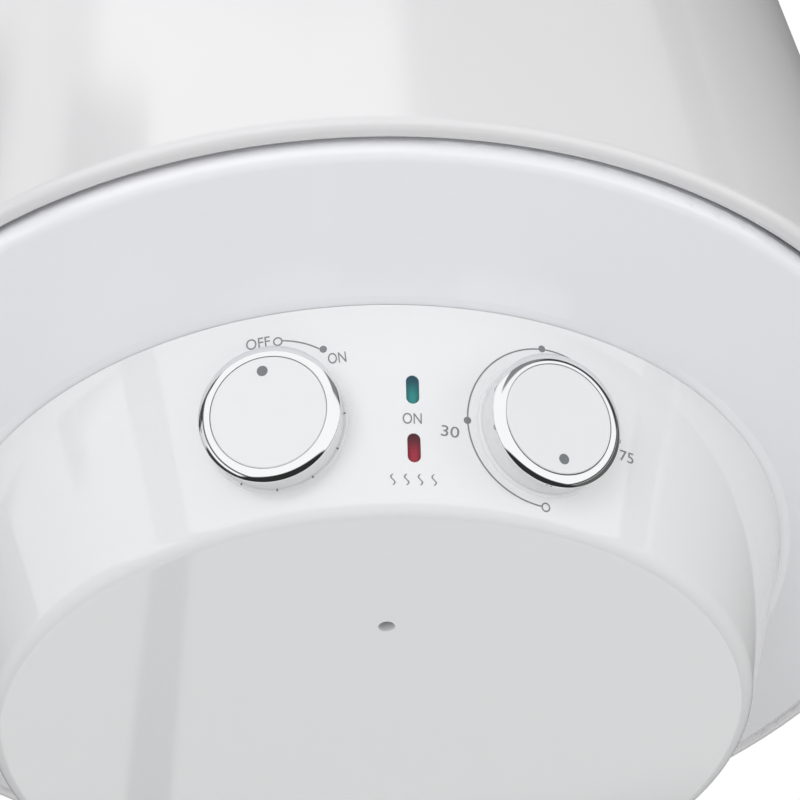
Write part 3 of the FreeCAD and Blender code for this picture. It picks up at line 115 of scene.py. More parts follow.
class Body(Enum):
    """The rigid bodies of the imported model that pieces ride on."""

    HEATER = "heater"
    SWITCH_KNOB = "switch_knob"
    THERMOSTAT_KNOB = "thermostat_knob"


# Shader maths


def arithmetic(operation: str) -> Callable[..., "Number"]:
    """Return a method that runs one Math operation on a Number and what stands beside it."""
    return lambda number, *others: number.apply(operation, *others)


class Number:
    """A number inside a node tree, which takes plain arithmetic and adds the Math nodes for it."""

    __add__ = __radd__ = arithmetic("ADD")
    __sub__ = arithmetic("SUBTRACT")
    __mul__ = arithmetic("MULTIPLY")
    __truediv__ = arithmetic("DIVIDE")
    __abs__ = arithmetic("ABSOLUTE")

    def __init__(self, nodes: "Nodes", socket: Socket) -> None:
        """Wrap an output socket of a tree."""
        self.nodes = nodes
        self.socket = socket

    def __rsub__(self, other: float) -> "Number":
        """Return other - self."""
        return self.nodes.field("ShaderNodeMath", {0: other, 1: self}, operation="SUBTRACT")

    def apply(self, operation: str, *others: Any) -> "Number":
        """Return the result of one Math operation on the number and any further ones."""
        return self.nodes.field("ShaderNodeMath", dict(enumerate((self, *others))), operation=operation)

    def rise(self, low: float, high: float) -> "Number":
        """Return 0 below low, 1 above high and a smooth rise between them."""
        values = {"Value": self, "From Min": low, "From Max": high}
        return self.nodes.field("ShaderNodeMapRange", values, interpolation_type="SMOOTHSTEP")


class Nodes:
    """A node tree, filled through one method that adds any node."""

    def __init__(self, tree: bpy.types.NodeTree) -> None:
        """Empty a tree and take it over."""
        self.tree = tree
        self.tree.nodes.clear()

    def node(self, kind: str, values: Inputs | None = None, **settings: Any) -> bpy.types.Node:
        """Add a node.

        Args:
            kind: the node's type.
            values: a value, a socket or a Number for each input, by name or index.
            settings: the node's own settings.

        Returns:
            The node.
        """
        node = self.tree.nodes.new(kind)
        for key, value in settings.items():
            setattr(node, key, value)
        for key, value in (values or {}).items():
            value = value.socket if isinstance(value, Number) else value
            if isinstance(value, Socket):
                self.tree.links.new(value, node.inputs[key])
            else:
                node.inputs[key].default_value = value
        return node

    def out(self, kind: str, values: Inputs | None = None, output: Any = 0, **settings: Any) -> Socket:
        """Add a node and return one of its outputs, found by name or index."""
        return self.node(kind, values, **settings).outputs[output]

    def field(self, kind: str, values: Inputs, output: Any = 0, **settings: Any) -> Number:
        """Add a node and return one of its outputs as a Number."""
        return Number(self, self.out(kind, values, output, **settings))

    def split(self, vector: Socket) -> tuple[Number, ...]:
        """Return a vector's three parts as Numbers."""
        parts = self.node("ShaderNodeSeparateXYZ", {"Vector": vector})
        return tuple(Number(self, output) for output in parts.outputs)

    def seen(self) -> Number:
        """Tell direct looks from the rays that carry light.

        Returns:
            1 where the camera, a mirror or a clear body looks, 0 elsewhere.
        """
        rays = self.node("ShaderNodeLightPath").outputs
        seen = Number(self, rays["Is Camera Ray"])
        for kind in ("Is Glossy Ray", "Is Transmission Ray"):
            seen = seen.apply("MAXIMUM", rays[kind])
        return seen


class Shader(Nodes):
    """A material's node tree, with the fields and mixes that the finishes are made of."""

    def __init__(self, name: str) -> None:
        """Start an empty material of a given name."""
        self.material = bpy.data.materials.new(name)
        self.material.use_nodes = True
        super().__init__(self.material.node_tree)

    def place(self, scale: Sequence[float] = (1.0, 1.0, 1.0)) -> Socket:
        """Return the surface point in metres, each axis times a factor."""
        source = self.out("ShaderNodeTexCoord", output="Object")
        return self.out("ShaderNodeMapping", {"Vector": source, "Scale": scale})

    def axes(self) -> tuple[Number, ...]:
        """Return the surface point's x, y and z as Numbers."""
        return self.split(self.place())

    def noise(self, size: float, detail: float = 2.0, stretch: Sequence[float] = (1, 1, 1)) -> Number:
        """Return smooth noise between 0 and 1 whose blobs are about size metres wide."""
        values = {"Vector": self.place(stretch), "Scale": 1.0 / size, "Detail": detail}
        return self.field("ShaderNodeTexNoise", values, "Fac")

    def cells(self, size: float) -> Number:
        """Return the distance to the middle of round cells about size metres wide."""
        values = {"Vector": self.place(), "Scale": 1.0 / size}
        return self.field("ShaderNodeTexVoronoi", values, "Distance")

    def mix(self, share: Any, first: Any, second: Any) -> Socket:
        """Mix two colours.

        Args:
            share: how much of the second colour shows, as a Number or a value.
            first: a colour or a colour socket.
            second: a colour or a colour socket.

        Returns:
            The mixed colour's socket.
        """
        first_input, second_input, colour_output = 6, 7, 2
        colours = [(*item, 1.0) if isinstance(item, tuple) else item for item in (first, second)]
        values = {"Factor": share, first_input: colours[0], second_input: colours[1]}
        return self.out("ShaderNodeMix", values, colour_output, data_type="RGBA")

    def bump(self, height: Number, depth: float, before: Socket | None = None) -> Socket:
        """Tilt the surface's normal by a height field.

        Args:
            height: the field, from 0 to 1.
            depth: how far it reaches, in metres.
            before: a tilted normal that it is laid over.

        Returns:
            The normal's socket.
        """
        values = {"Height": height, "Distance": depth, "Strength": 1.0}
        if before is not None:
            values["Normal"] = before
        return self.out("ShaderNodeBump", values)

    def surface(self, values: Inputs) -> None:
        """Close the material with one Principled surface of given inputs."""
        plain = {key: (*value, 1.0) if isinstance(value, tuple) else value for key, value in values.items()}
        self.node("ShaderNodeOutputMaterial", {"Surface": self.out("ShaderNodeBsdfPrincipled", plain)})


# Finishes


@dataclass(frozen=True)
class Finish:
    """What every finish has: a name and a colour."""

    name: str
    colour: Colour

    def shade(self, factor: float) -> Colour:
        """Return the colour made lighter or darker by a factor."""
        return tuple(min(1.0, part * factor) for part in self.colour)

    def material(self) -> Material:
        """Make the material on first use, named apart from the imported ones.

        Returns:
            The material.
        """
        name = self.name + "_finish"
        if name not in bpy.data.materials:
            shader = Shader(name)
            shader.surface(self.inputs(shader))
        return bpy.data.materials[name]

    def inputs(self, shader: Shader) -> Inputs:
        """Make the fields of the surface.

        Args:
            shader: the material's nodes.

        Returns:
            The inputs of a Principled surface by name.
        """
        raise NotImplementedError


@dataclass(frozen=True)
class StovedPaint(Finish):
    """Gloss white paint over sheet steel, with the faint waviness of a sprayed coat."""

    roughness: float = 0.16
    cloud: float = 0.09
    speck: float = 0.0035
    peel: float = 0.0022
    peel_depth: float = 0.000006
    wave: float = 0.045
    wave_depth: float = 0.000054
    coat: float = 0.35

    def inputs(self, shader: Shader) -> Inputs:
        """Make slight clouding, specks, orange peel and long waves.

        Args:
            shader: the material's nodes.

        Returns:
            The surface's inputs.
        """
        specks = shader.noise(self.speck, 1.0).rise(0.70, 0.86)
        colour = shader.mix(shader.noise(self.cloud, 3.0) * 0.5, self.colour, self.shade(0.975))
        normal = shader.bump(shader.noise(self.peel), self.peel_depth)
        return {
            "Base Color": shader.mix(specks * 0.10, colour, self.shade(0.86)),
            "Roughness": shader.noise(0.03, 3.0) * 0.06 + self.roughness,
            "Coat Weight": self.coat,
            "Coat Roughness": 0.06,
            "Normal": shader.bump(shader.noise(self.wave, 1.0), self.wave_depth, normal),
        }


@dataclass(frozen=True)
class MouldedPlastic(Finish):
    """Bright moulded plastic: a smooth skin with a slow swim in its reflections."""

    roughness: float = 0.04
    swim: float = 0.08
    swim_depth: float = 0.00003
    grain: float = 0.0012
    grain_depth: float = 0.0000015

    def inputs(self, shader: Shader) -> Inputs:
        """Make moulding swim, a hair of grain and slight flow shading.

        Args:
            shader: the material's nodes.

        Returns:
            The surface's inputs.
        """
        flow = shader.noise(self.swim * 1.7)
        normal = shader.bump(shader.noise(self.swim, 1.0), self.swim_depth)
        return {
            "Base Color": shader.mix(flow, self.colour, self.shade(0.985)),
            "Roughness": shader.noise(0.025, 3.0) * 0.03 + self.roughness,
            "IOR": 1.6,
            "Normal": shader.bump(shader.noise(self.grain), self.grain_depth, normal),
        }


@dataclass(frozen=True)
class BrightPlate(Finish):
    """Polished chrome plating with fine wipe marks."""

    roughness: float = 0.045
    wipe: float = 0.0016
    wipe_depth: float = 0.0000008
    haze: float = 0.012

    def inputs(self, shader: Shader) -> Inputs:
        """Make wipe marks and a breath of haze.

        Args:
            shader: the material's nodes.

        Returns:
            The surface's inputs.
        """
        wipes = shader.noise(self.wipe, stretch=(1.0, 1.0, 9.0))
        haze = shader.noise(self.haze, 3.0).rise(0.35, 0.8)
        return {
            "Base Color": shader.mix(haze * 0.4, self.colour, self.shade(0.95)),
            "Metallic": 1.0,
            "Roughness": haze * 0.035 + wipes * 0.02 + self.roughness,
            "Normal": shader.bump(wipes, self.wipe_depth),
        }


@dataclass(frozen=True)
class LampLens(Finish):
    """A clear coloured lamp lens, its upper end darkened as painted shade and its lower end brightened as a
    painted highlight.
    """

    shaded_top: Colour = (0.01, 0.01, 0.01)
    bottom: float = 0.0
    length: float = 0.009
    highlight_fade: float = 620.0
    rib_turn: float = 5200.0
    rib_depth: float = 0.00002

    def inputs(self, shader: Shader) -> Inputs:
        """Make the painted shade down the lens, a painted highlight at its lower end and faint ribs.

        Args:
            shader: the material's nodes.

        Returns:
            The surface's inputs.
        """
        x, _, z = shader.axes()
        run = (z - self.bottom) / self.length
        # painted highlight: a bright core down the middle of the lens, strongest at its lower end
        painted_highlight = 1.0 - abs(x * self.highlight_fade).rise(0.25, 1.0)
        # painted shade: the colour deepens towards the lens's upper end, where its recess shades it
        body = shader.mix(run.rise(0.30, 0.95), self.colour, self.shaded_top)
        return {
            "Base Color": shader.mix(painted_highlight * 0.45 * (1.0 - run.rise(0.2, 0.8)), body, self.shade(2.1)),
            "Roughness": shader.noise(0.002) * 0.08 + 0.12,
            "Specular IOR Level": 0.2,
            "Coat Weight": 0.15,
            "Coat Roughness": 0.04,
            "Normal": shader.bump((z * self.rib_turn).apply("SINE"), self.rib_depth),
        }


@dataclass(frozen=True)
class PlatedMetal(Finish):
    """Zinc, nickel, brass or copper with drawn or rolled grain along one axis."""

    roughness: float = 0.34
    grain: float = 0.0009
    grain_depth: float = 0.000004
    grain_axes: Sequence[float] = (1.0, 1.0, 0.08)
    bloom: float = 0.011
    patina: float = 0.75

    def inputs(self, shader: Shader) -> Inputs:
        """Make rolled grain, dull blooms and fine scratches.

        Args:
            shader: the material's nodes.

        Returns:
            The surface's inputs.
        """
        grain = shader.noise(self.grain, 3.0, self.grain_axes)
        bloom = shader.noise(self.bloom, 4.0).rise(0.45, 0.75)
        colour = shader.mix(bloom * 0.6, self.colour, self.shade(self.patina))
        return {
            "Base Color": shader.mix(grain * 0.25, colour, self.shade(1.12)),
            "Metallic": 1.0 - bloom * 0.15,
            "Roughness": grain * 0.14 + bloom * 0.12 + self.roughness,
            "Normal": shader.bump(grain, self.grain_depth),
        }


@dataclass(frozen=True)
class TexturedPlastic(Finish):
    """Matt technical plastic with a fine spark-eroded texture."""

    roughness: float = 0.5
    pebble: float = 0.0007
    pebble_depth: float = 0.000012

    def inputs(self, shader: Shader) -> Inputs:
        """Make the pebble texture, rubbed patches and dust.

        Args:
            shader: the material's nodes.

        Returns:
            The surface's inputs.
        """
        pebble = shader.noise(self.pebble)
        rubbed = shader.noise(0.014, 3.0).rise(0.5, 0.8)
        dust = shader.noise(0.004, 3.0).rise(0.6, 0.85)
        return {
            "Base Color": shader.mix(dust * 0.25, self.colour, self.shade(1.35)),
            "Roughness": pebble * 0.08 - rubbed * 0.14 + self.roughness,
            "Normal": shader.bump(pebble, self.pebble_depth),
        }


@dataclass(frozen=True)
class RigidFoam(Finish):
    """Blown foam with open cells and a darker skin in places."""

    cell: float = 0.0022
    cell_depth: float = 0.0006
    band: float = 0.05

    def inputs(self, shader: Shader) -> Inputs:
        """Make cells, flow bands and a browned skin.

        Args:
            shader: the material's nodes.

        Returns:
            The surface's inputs.
        """
        cells = shader.cells(self.cell)
        colour = shader.mix(shader.noise(self.band, 4.0), self.shade(1.06), self.shade(0.84))
        return {
            "Base Color": shader.mix(cells.rise(0.35, 0.75) * 0.4, colour, self.shade(0.62)),
            "Roughness": 0.88 - cells * 0.1,
            "Normal": shader.bump(cells, self.cell_depth),
        }


@dataclass(frozen=True)
class PrintInk(Finish):
    """Pad-printed ink, a little thin in places."""

    def inputs(self, shader: Shader) -> Inputs:
        """Make thin spots and a satin face.

        Args:
            shader: the material's nodes.

        Returns:
            The surface's inputs.
        """
        thin = shader.noise(0.0005).rise(0.55, 0.85)
        colour = shader.mix(thin * 0.35, self.colour, self.shade(1.6))
        return {"Base Color": colour, "Roughness": thin * 0.1 + 0.38, "Coat Weight": 0.2}


@dataclass(frozen=True)
class StudioFloor(Finish):
    """A pale seamless floor, which looks lit where it is seen directly."""

    glow: float = 0.42

    def inputs(self, shader: Shader) -> Inputs:
        """Make a plain matt sheet with a glow.

        Args:
            shader: the material's nodes.

        Returns:
            The surface's inputs.
        """
        return {
            "Base Color": shader.mix(shader.noise(0.6), self.colour, self.shade(0.98)),
            "Roughness": 0.9,
            "Emission Color": WHITE,
            "Emission Strength": shader.seen() * self.glow,
        }


CASING_PAINT = StovedPaint("casing_paint", (0.80, 0.795, 0.805))
# The caps wear the same white paint as the casing; this copy is made far lighter as painted light, making up
# for the shade on the recessed bottom cap.
LIGHTENED_CAP_PAINT = StovedPaint("cap_paint_lightened", (0.955, 0.96, 0.985), roughness=0.12)
WHITE_PLASTIC = MouldedPlastic("white_plastic", (0.865, 0.87, 0.878))
KNOB_WHITE = MouldedPlastic("knob_white", (0.82, 0.825, 0.835), roughness=0.2, swim=0.03, swim_depth=0.00001)
KNOB_CHROME = BrightPlate("knob_chrome", (0.86, 0.865, 0.875))
ZINC = PlatedMetal("zinc_steel", (0.62, 0.63, 0.65))
BLACK_PLASTIC = TexturedPlastic("black_plastic", (0.032, 0.033, 0.036))
MARK_INK = PrintInk("mark_ink", (0.21, 0.215, 0.225))
DOT_INK = PrintInk("dot_ink", (0.17, 0.18, 0.19))
FLOOR = StudioFloor("studio_floor", (0.86, 0.86, 0.86))

FINISHES: dict[str, Finish] = {"white_paint": CASING_PAINT}
FINISHES |= {finish.name: finish for finish in (
    WHITE_PLASTIC,
    KNOB_WHITE,
    KNOB_CHROME,
    ZINC,
    BLACK_PLASTIC,
    LampLens("green_lens", (0.022, 0.165, 0.16), shaded_top=(0.018, 0.075, 0.11), bottom=-0.4043),
    LampLens("red_lens", (0.23, 0.02, 0.036), shaded_top=(0.09, 0.018, 0.028), bottom=-0.4223),
    StovedPaint("tank_steel", (0.06, 0.085, 0.14), roughness=0.4, coat=0.1),
    PlatedMetal("copper", (0.62, 0.36, 0.24), patina=0.6),
    PlatedMetal("brass", (0.70, 0.53, 0.26)),
    PlatedMetal("anode_metal", (0.52, 0.53, 0.54), roughness=0.5),
    RigidFoam("foam", (0.78, 0.66, 0.38)),
    TexturedPlastic("black_rubber", (0.022, 0.022, 0.024), roughness=0.7),
    TexturedPlastic("grey_plastic", (0.55, 0.56, 0.57)),
    TexturedPlastic("blue_plastic", (0.03, 0.12, 0.42), roughness=0.42),
    TexturedPlastic("red_plastic", (0.48, 0.03, 0.03), roughness=0.42),
    TexturedPlastic("brown_insulation", (0.12, 0.05, 0.025), roughness=0.4),
    TexturedPlastic("blue_insulation", (0.03, 0.12, 0.42), roughness=0.4),
    TexturedPlastic("earth_insulation", (0.28, 0.42, 0.04), roughness=0.4),
    MouldedPlastic("ceramic", (0.78, 0.76, 0.70)),
    MouldedPlastic("amber_lamp", (0.70, 0.42, 0.18)),
)}

NODE_FINISHES: dict[str, Finish] = {
    "bottom_cap": LIGHTENED_CAP_PAINT,
    "top_cap": LIGHTENED_CAP_PAINT,
    # The screws are darkened well below plain zinc as painted shade for their dark wells.
    "cover_screws": PlatedMetal("screw_steel_shaded", (0.22, 0.225, 0.235)),
}


# Objects and meshes


def put(name: str, data: Any) -> bpy.types.Object:
    """Add an object with given data to the scene.

    Args:
        name: its name.
        data: its mesh, curve, camera or light.

    Returns:
        The object.
    """
    item = bpy.data.objects.new(name, data)
    bpy.context.scene.collection.objects.link(item)
    return item


def evaluated(holder: bpy.types.Object) -> Mesh:
    """Read what an object comes to and take the object away.

    Args:
        holder: an object with modifiers or a text curve.

    Returns:
        The result as a plain mesh.
    """
    graph = bpy.context.evaluated_depsgraph_get()
    mesh = bpy.data.meshes.new_from_object(holder.evaluated_get(graph))
    bpy.data.objects.remove(holder)
    return mesh


def add_piece(name: str, mesh: Mesh, finish: Finish, body: Body) -> bpy.types.Object:
    """Put a finished mesh in the scene as a piece of the heater.

    Args:
        name: the piece's name.
        mesh: its mesh, in the row frame.
        finish: its finish.
        body: the body it moves with.

    Returns:
        The piece.
    """
    piece = put(name, mesh)
    mesh.materials.clear()
    mesh.materials.append(finish.material())
    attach(piece, body.value)
    LOG.info("%s: %d faces, %s on %s", name, len(mesh.polygons), finish.name, body.value)
    return piece


def joined(name: str, solids: Iterable[Solid]) -> Mesh:
    """Gather solids in one mesh.

    Args:
        name: the mesh's name.
        solids: the solids, which are used up.

    Returns:
        The mesh.
    """
    whole = bmesh.new()
    for solid in solids:
        part = bpy.data.meshes.new("part")
        solid.to_mesh(part)
        solid.free()
        whole.from_mesh(part)
        bpy.data.meshes.remove(part)
    mesh = bpy.data.meshes.new(name)
    whole.to_mesh(mesh)
    whole.free()
    return mesh


def smoothed(mesh: Mesh) -> Mesh:
    """Shade a mesh smooth with its sharp edges left crisp.

    Args:
        mesh: the mesh.

    Returns:
        The same mesh.
    """
    mesh.shade_smooth()
    mesh.set_sharp_from_angle(angle=CRISP_ANGLE)
    return mesh


def with_tools(base: Mesh, operation: str, tools: Sequence[Solid]) -> Mesh:
    """Join solids to a mesh, or take them out of it.

    Args:
        base: the closed mesh to work on.
        operation: UNION or DIFFERENCE.
        tools: closed solids that stay clear of each other.

    Returns:
        The worked mesh.
    """
    holder, tool = (put("work", mesh) for mesh in (base, joined("tools", tools)))
    modifier = holder.modifiers.new("work", "BOOLEAN")
    modifier.operation = operation
    modifier.solver = "EXACT"
    modifier.object = tool
    mesh = evaluated(holder)
    bpy.data.objects.remove(tool)
    return mesh


# Geometry Nodes


class Growth(Nodes):
    """A Geometry Nodes tree with named sizes, which grows one plain mesh."""

    def __init__(self, name: str, sizes: dict[str, float]) -> None:
        """Start a tree.

        Args:
            name: the name of the tree and of its mesh.
            sizes: the value of each named input, a whole number for a count.
        """
        self.name, self.sizes = name, sizes
        super().__init__(bpy.data.node_groups.new(name, "GeometryNodeTree"))
        for key, value in sizes.items():
            kind = "NodeSocketInt" if isinstance(value, int) else "NodeSocketFloat"
            self.tree.interface.new_socket(key, in_out="INPUT", socket_type=kind)
        self.tree.interface.new_socket("Mesh", in_out="OUTPUT", socket_type="NodeSocketGeometry")
        self.entry = self.node("NodeGroupInput")

    def __getitem__(self, key: str) -> Number:
        """Return a named input as a Number."""
        return Number(self, self.entry.outputs[key])

    def vector(self, x: Any, y: Any, z: Any) -> Socket:
        """Return a vector put together from three numbers."""
        return self.out("ShaderNodeCombineXYZ", {"X": x, "Y": y, "Z": z})

    def circle(self, count: Any, radius: Any) -> Socket:
        """Return a round curve of a given number of points."""
        values = {"Resolution": count, "Radius": radius}
        return self.out("GeometryNodeCurvePrimitiveCircle", values, mode="RADIUS")

    def along(self, rail: Socket, section: Socket) -> Socket:
        """Return the skin that a section leaves along a rail, closed at its ends."""
        values = {"Curve": rail, "Profile Curve": section, "Fill Caps": True}
        return self.out("GeometryNodeCurveToMesh", values)

    def blocks(self, rail: Socket, *size: Any) -> Socket:
        """Set as many blocks as the Count input says along a rail, turned with it.

        Args:
            rail: the curve that they stand on.
            size: their sizes in x, y and z.

        Returns:
            The blocks, as instances.
        """
        values = {"Curve": rail, "Count": self["Count"]}
        points = self.node("GeometryNodeCurveToPoints", values, mode="COUNT").outputs
        block = self.out("GeometryNodeMeshCube", {"Size": self.vector(*size)})
        values = {"Points": points["Points"], "Instance": block, "Rotation": points["Rotation"]}
        return self.out("GeometryNodeInstanceOnPoints", values)

    def grow(self, form: Socket, finish: Finish) -> Mesh:
        """Close the tree and run it.

        Args:
            form: the geometry that the tree has made.
            finish: its finish.

        Returns:
            The result as a plain mesh.
        """
        real = self.out("GeometryNodeRealizeInstances", {"Geometry": form})
        values = {"Geometry": real, "Material": finish.material()}
        self.node("NodeGroupOutput", {"Mesh": self.out("GeometryNodeSetMaterial", values)})
        holder = put(self.name, bpy.data.meshes.new(self.name))
        modifier = holder.modifiers.new(self.name, "NODES")
        modifier.node_group = self.tree
        for item in self.tree.interface.items_tree:
            if item.in_out == "INPUT":
                modifier[item.identifier] = self.sizes[item.name]
        return evaluated(holder)


# Places on the heater


@dataclass(frozen=True)
class Cone:
    """The control cover's cone, in the row frame."""

    axis_y: float = -0.245
    foot: float = -0.4368
    foot_radius: float = 0.1357538
    tilt: float = math.radians(21.0)

    def radius(self, level: float) -> float:
        """Return the cone's radius at a level."""
        return self.foot_radius + level * math.tan(self.tilt)

    def outside(self, point: Vector) -> float:
        """Return how far a point is outside the cone, square to its surface."""
        flat = math.hypot(point.x, point.y - self.axis_y)
        return (flat - self.radius(point.z - self.foot)) * math.cos(self.tilt)

    def outward(self, flat: Vector) -> Vector:
        """Return the direction square out of the cone on the side of a level direction."""
        return flat * math.cos(self.tilt) - UP * math.sin(self.tilt)

    def normal(self, point: Vector) -> Vector:
        """Return the outward direction of the cone beside a point."""
        return self.outward(Vector((point.x, point.y - self.axis_y, 0.0)).normalized())


CONE = Cone()


@dataclass(frozen=True)
class Station:
    """A control's place on the cone: x sideways, y up the cone and z square out of it."""

    azimuth: float
    level: float
    rounds: int = 6

    def frame(self) -> Matrix:
        """Work out where the station stands.

        Returns:
            Its frame in the row frame.
        """
        angle = math.radians(self.azimuth)
        flat = Vector((math.sin(angle), -math.cos(angle), 0.0))
        side = Vector((math.cos(angle), math.sin(angle), 0.0))
        uphill = flat * math.sin(CONE.tilt) + UP * math.cos(CONE.tilt)
        frame = Matrix((side, uphill, CONE.outward(flat))).transposed().to_4x4()
        frame.translation = flat * CONE.radius(self.level) + Vector((0, CONE.axis_y, CONE.foot + self.level))
        return frame

    def on_cone(self, x: float, y: float, lift: float) -> Vector:
        """Find the point of the cone straight behind a place of the station.

        Args:
            x: metres sideways.
            y: metres up the cone.
            lift: metres to stand off the cone.

        Returns:
            The point in the row frame.
        """
        frame = self.frame()
        outward = frame.to_3x3().col[2]
        point = frame @ Vector((x, y, 0.0))
        for _ in range(self.rounds):
            point = point - outward * CONE.outside(point)
        return point + CONE.normal(point) * lift


SWITCH = Station(-16.6, 0.0294)
THERMOSTAT = Station(16.6, 0.0294)
POWER_LAMP = Station(0.0, 0.0368)
HEATING_LAMP = Station(0.0, 0.0188)


# Outlines and solids


def arc(centre: Place, radius: float, start: float, end: float, steps: int) -> Outline:
    """Cut an arc of a turned piece's outline into points.

    Args:
        centre: the arc's centre, as a radius and a height.
        radius: the arc's own radius.
        start: where it begins, in degrees from straight outwards towards straight up.
        end: where it ends.
        steps: how many pieces it is cut into.

    Returns:
        The points, both ends among them.
    """
    angles = [math.radians(start + (end - start) * step / steps) for step in range(steps + 1)]
    return [(centre[0] + radius * math.cos(a), centre[1] + radius * math.sin(a)) for a in angles]


def rod(radius: float, low: float, high: float) -> Outline:
    """Return the outline of a plain round bar between two heights."""
    return [(0.0, low), (radius, low), (radius, high), (0.0, high)]


def button(radius: float, low: float, top: float, edge: float, steps: int) -> Outline:
    """Return the outline of a round bar whose upper rim has a given edge radius."""
    bend = arc((radius - edge, top - edge), edge, 0.0, 90.0, steps)
    return [(0.0, low), (radius, low), *bend, (radius - 2 * edge, top), (0.0, top)]


def skinned(solid: Solid, rows: list[list[bmesh.types.BMVert]], closed: bool = True) -> Solid:
    """Join rows of corners with faces, each to the next one and the last to the first.

    Args:
        solid: the solid that the corners are in.
        rows: the rows, all as long.
        closed: whether a row's last corner joins its first, or the ends get a face each.

    Returns:
        The solid.
    """
    count = len(rows[0])
    for row, following in zip(rows, rows[1:] + rows[:1]):
        for index in range(count if closed else count - 1):
            after = (index + 1) % count
            corners = list(dict.fromkeys((row[index], row[after], following[after], following[index])))
            if len(corners) > 2:
                solid.faces.new(corners)
    if not closed:
        solid.faces.new([row[0] for row in rows])
        solid.faces.new([row[-1] for row in reversed(rows)])
    bmesh.ops.recalc_face_normals(solid, faces=solid.faces)
    return solid


def turned(outline: Outline, segments: int, frame: Matrix) -> Solid:
    """Turn a closed outline around the Z axis.

    Args:
        outline: its points as a radius and a height, in metres.
        segments: how many steps a turn has.
        frame: where the solid stands.

    Returns:
        The solid.
    """
    solid = bmesh.new()
    angles = [2 * math.pi * step / segments for step in range(segments)]
    turn = [(math.cos(angle), math.sin(angle)) for angle in angles]
    rows = []
    for radius, height in outline:
        if radius:
            rows.append([solid.verts.new((radius * x, radius * y, height)) for x, y in turn])
        else:
            rows.append([solid.verts.new((0.0, 0.0, height))] * segments)
    skinned(solid, rows)
    bmesh.ops.transform(solid, matrix=frame, verts=solid.verts)
    return solid


def stadium(width: float, length: float, low: float, high: float, frame: Matrix) -> Solid:
    """Make a bar with two round ends, long along its frame's y axis.

    Args:
        width: its width, which the round ends share.
        length: its whole length.
        low: its lower face along z.
        high: its upper face along z.
        frame: where it stands.

    Returns:
        The solid.
    """
    steps = 16
    shift = (length - width) / 2
    rim = []
    for side, first in ((1, 0.0), (-1, 180.0)):
        rim += [(x, y + side * shift) for x, y in arc((0.0, 0.0), width / 2, first, first + 180.0, steps)]
    bar = bmesh.new()
    rows = [[bar.verts.new((x, y, z)) for x, y in rim] for z in (low, high)]
    rows += [[bar.verts.new((0.0, 0.0, z))] * len(rim) for z in (high, low)]
    skinned(bar, rows)
    bmesh.ops.transform(bar, matrix=frame, verts=bar.verts)
    return bar


@dataclass(frozen=True)
class InkFilm:
    """A thin layer of ink that follows the cone, its places in millimetres in a station."""

    station: Station
    lift: float = 0.00003
    thickness: float = 0.00004
    gap: float = 0.00001
    step_angle: float = 3.0
    least_steps: int = 8

    def strip(self, inner: Outline, outer: Outline, closed: bool) -> Solid:
        """Fill the room between two lines of as many points.

        Args:
            inner: the points of one side, in metres in the station.
            outer: the points of the other side.
            closed: whether the last points join the first.

        Returns:
            The film as a closed solid.
        """
        film = bmesh.new()
        top = self.lift + self.thickness
        rows = []
        for line, lift in ((inner, self.lift), (outer, self.lift), (outer, top), (inner, top)):
            rows.append([film.verts.new(self.station.on_cone(x, y, lift)) for x, y in line])
        return skinned(film, rows, closed)

    def arc(self, centre: Place, radius: float, width: float, start: float, sweep: float) -> Solid:
        """Draw a curved line of ink.

        Args:
            centre: the arc's centre.
            radius: its radius to the middle of the line, in metres.
            width: the line's width, in metres.
            start: where it begins, in degrees clockwise from straight up.
            sweep: how many degrees it runs clockwise.

        Returns:
            The film.
        """
        steps = max(self.least_steps, int(sweep / self.step_angle))
        closed = sweep >= 360.0
        x, y = (part * MM for part in centre)
        count = steps if closed else steps + 1
        angles = [math.radians(start + sweep * step / steps) for step in range(count)]
        lines = [[(x + reach * math.sin(a), y + reach * math.cos(a)) for a in angles]
                 for reach in (radius - width / 2, radius + width / 2)]
        return self.strip(*lines, closed)

    def dot(self, centre: Place, radius: float) -> Solid:
        """Return a round spot of ink, whose middle stays open by a hair."""
        return self.arc(centre, radius / 2 + self.gap, radius - 2 * self.gap, 0.0, 360.0)

    def letters(self, text: str, centre: Place, height: float, width: float) -> Solid:
        """Print upright letters or figures, fitted to a box.

        Args:
            text: what is printed.
            centre: the middle of the box.
            height: the letters' height, in metres.
            width: the whole word's width, in metres.

        Returns:
            The film.
        """
        curve = bpy.data.curves.new("letters", "FONT")
        curve.body = text
        curve.fill_mode = "BOTH"
        curve.extrude = MM
        mesh = evaluated(put("letters", curve))
        film = bmesh.new()
        film.from_mesh(mesh)
        bpy.data.meshes.remove(mesh)
        bmesh.ops.remove_doubles(film, verts=film.verts, dist=self.gap)
        low, high = ([pick(vert.co[axis] for vert in film.verts) for axis in (0, 1)] for pick in (min, max))
        for vert in film.verts:
            across, up = ((vert.co[axis] - low[axis]) / (high[axis] - low[axis]) - 0.5 for axis in (0, 1))
            place = (centre[0] * MM + across * width, centre[1] * MM + up * height)
            lift = self.lift + (self.thickness if vert.co.z > 0 else 0.0)
            vert.co = self.station.on_cone(*place, lift)
        bmesh.ops.recalc_face_normals(film, faces=film.faces)
        return film


# The control cover and its knobs


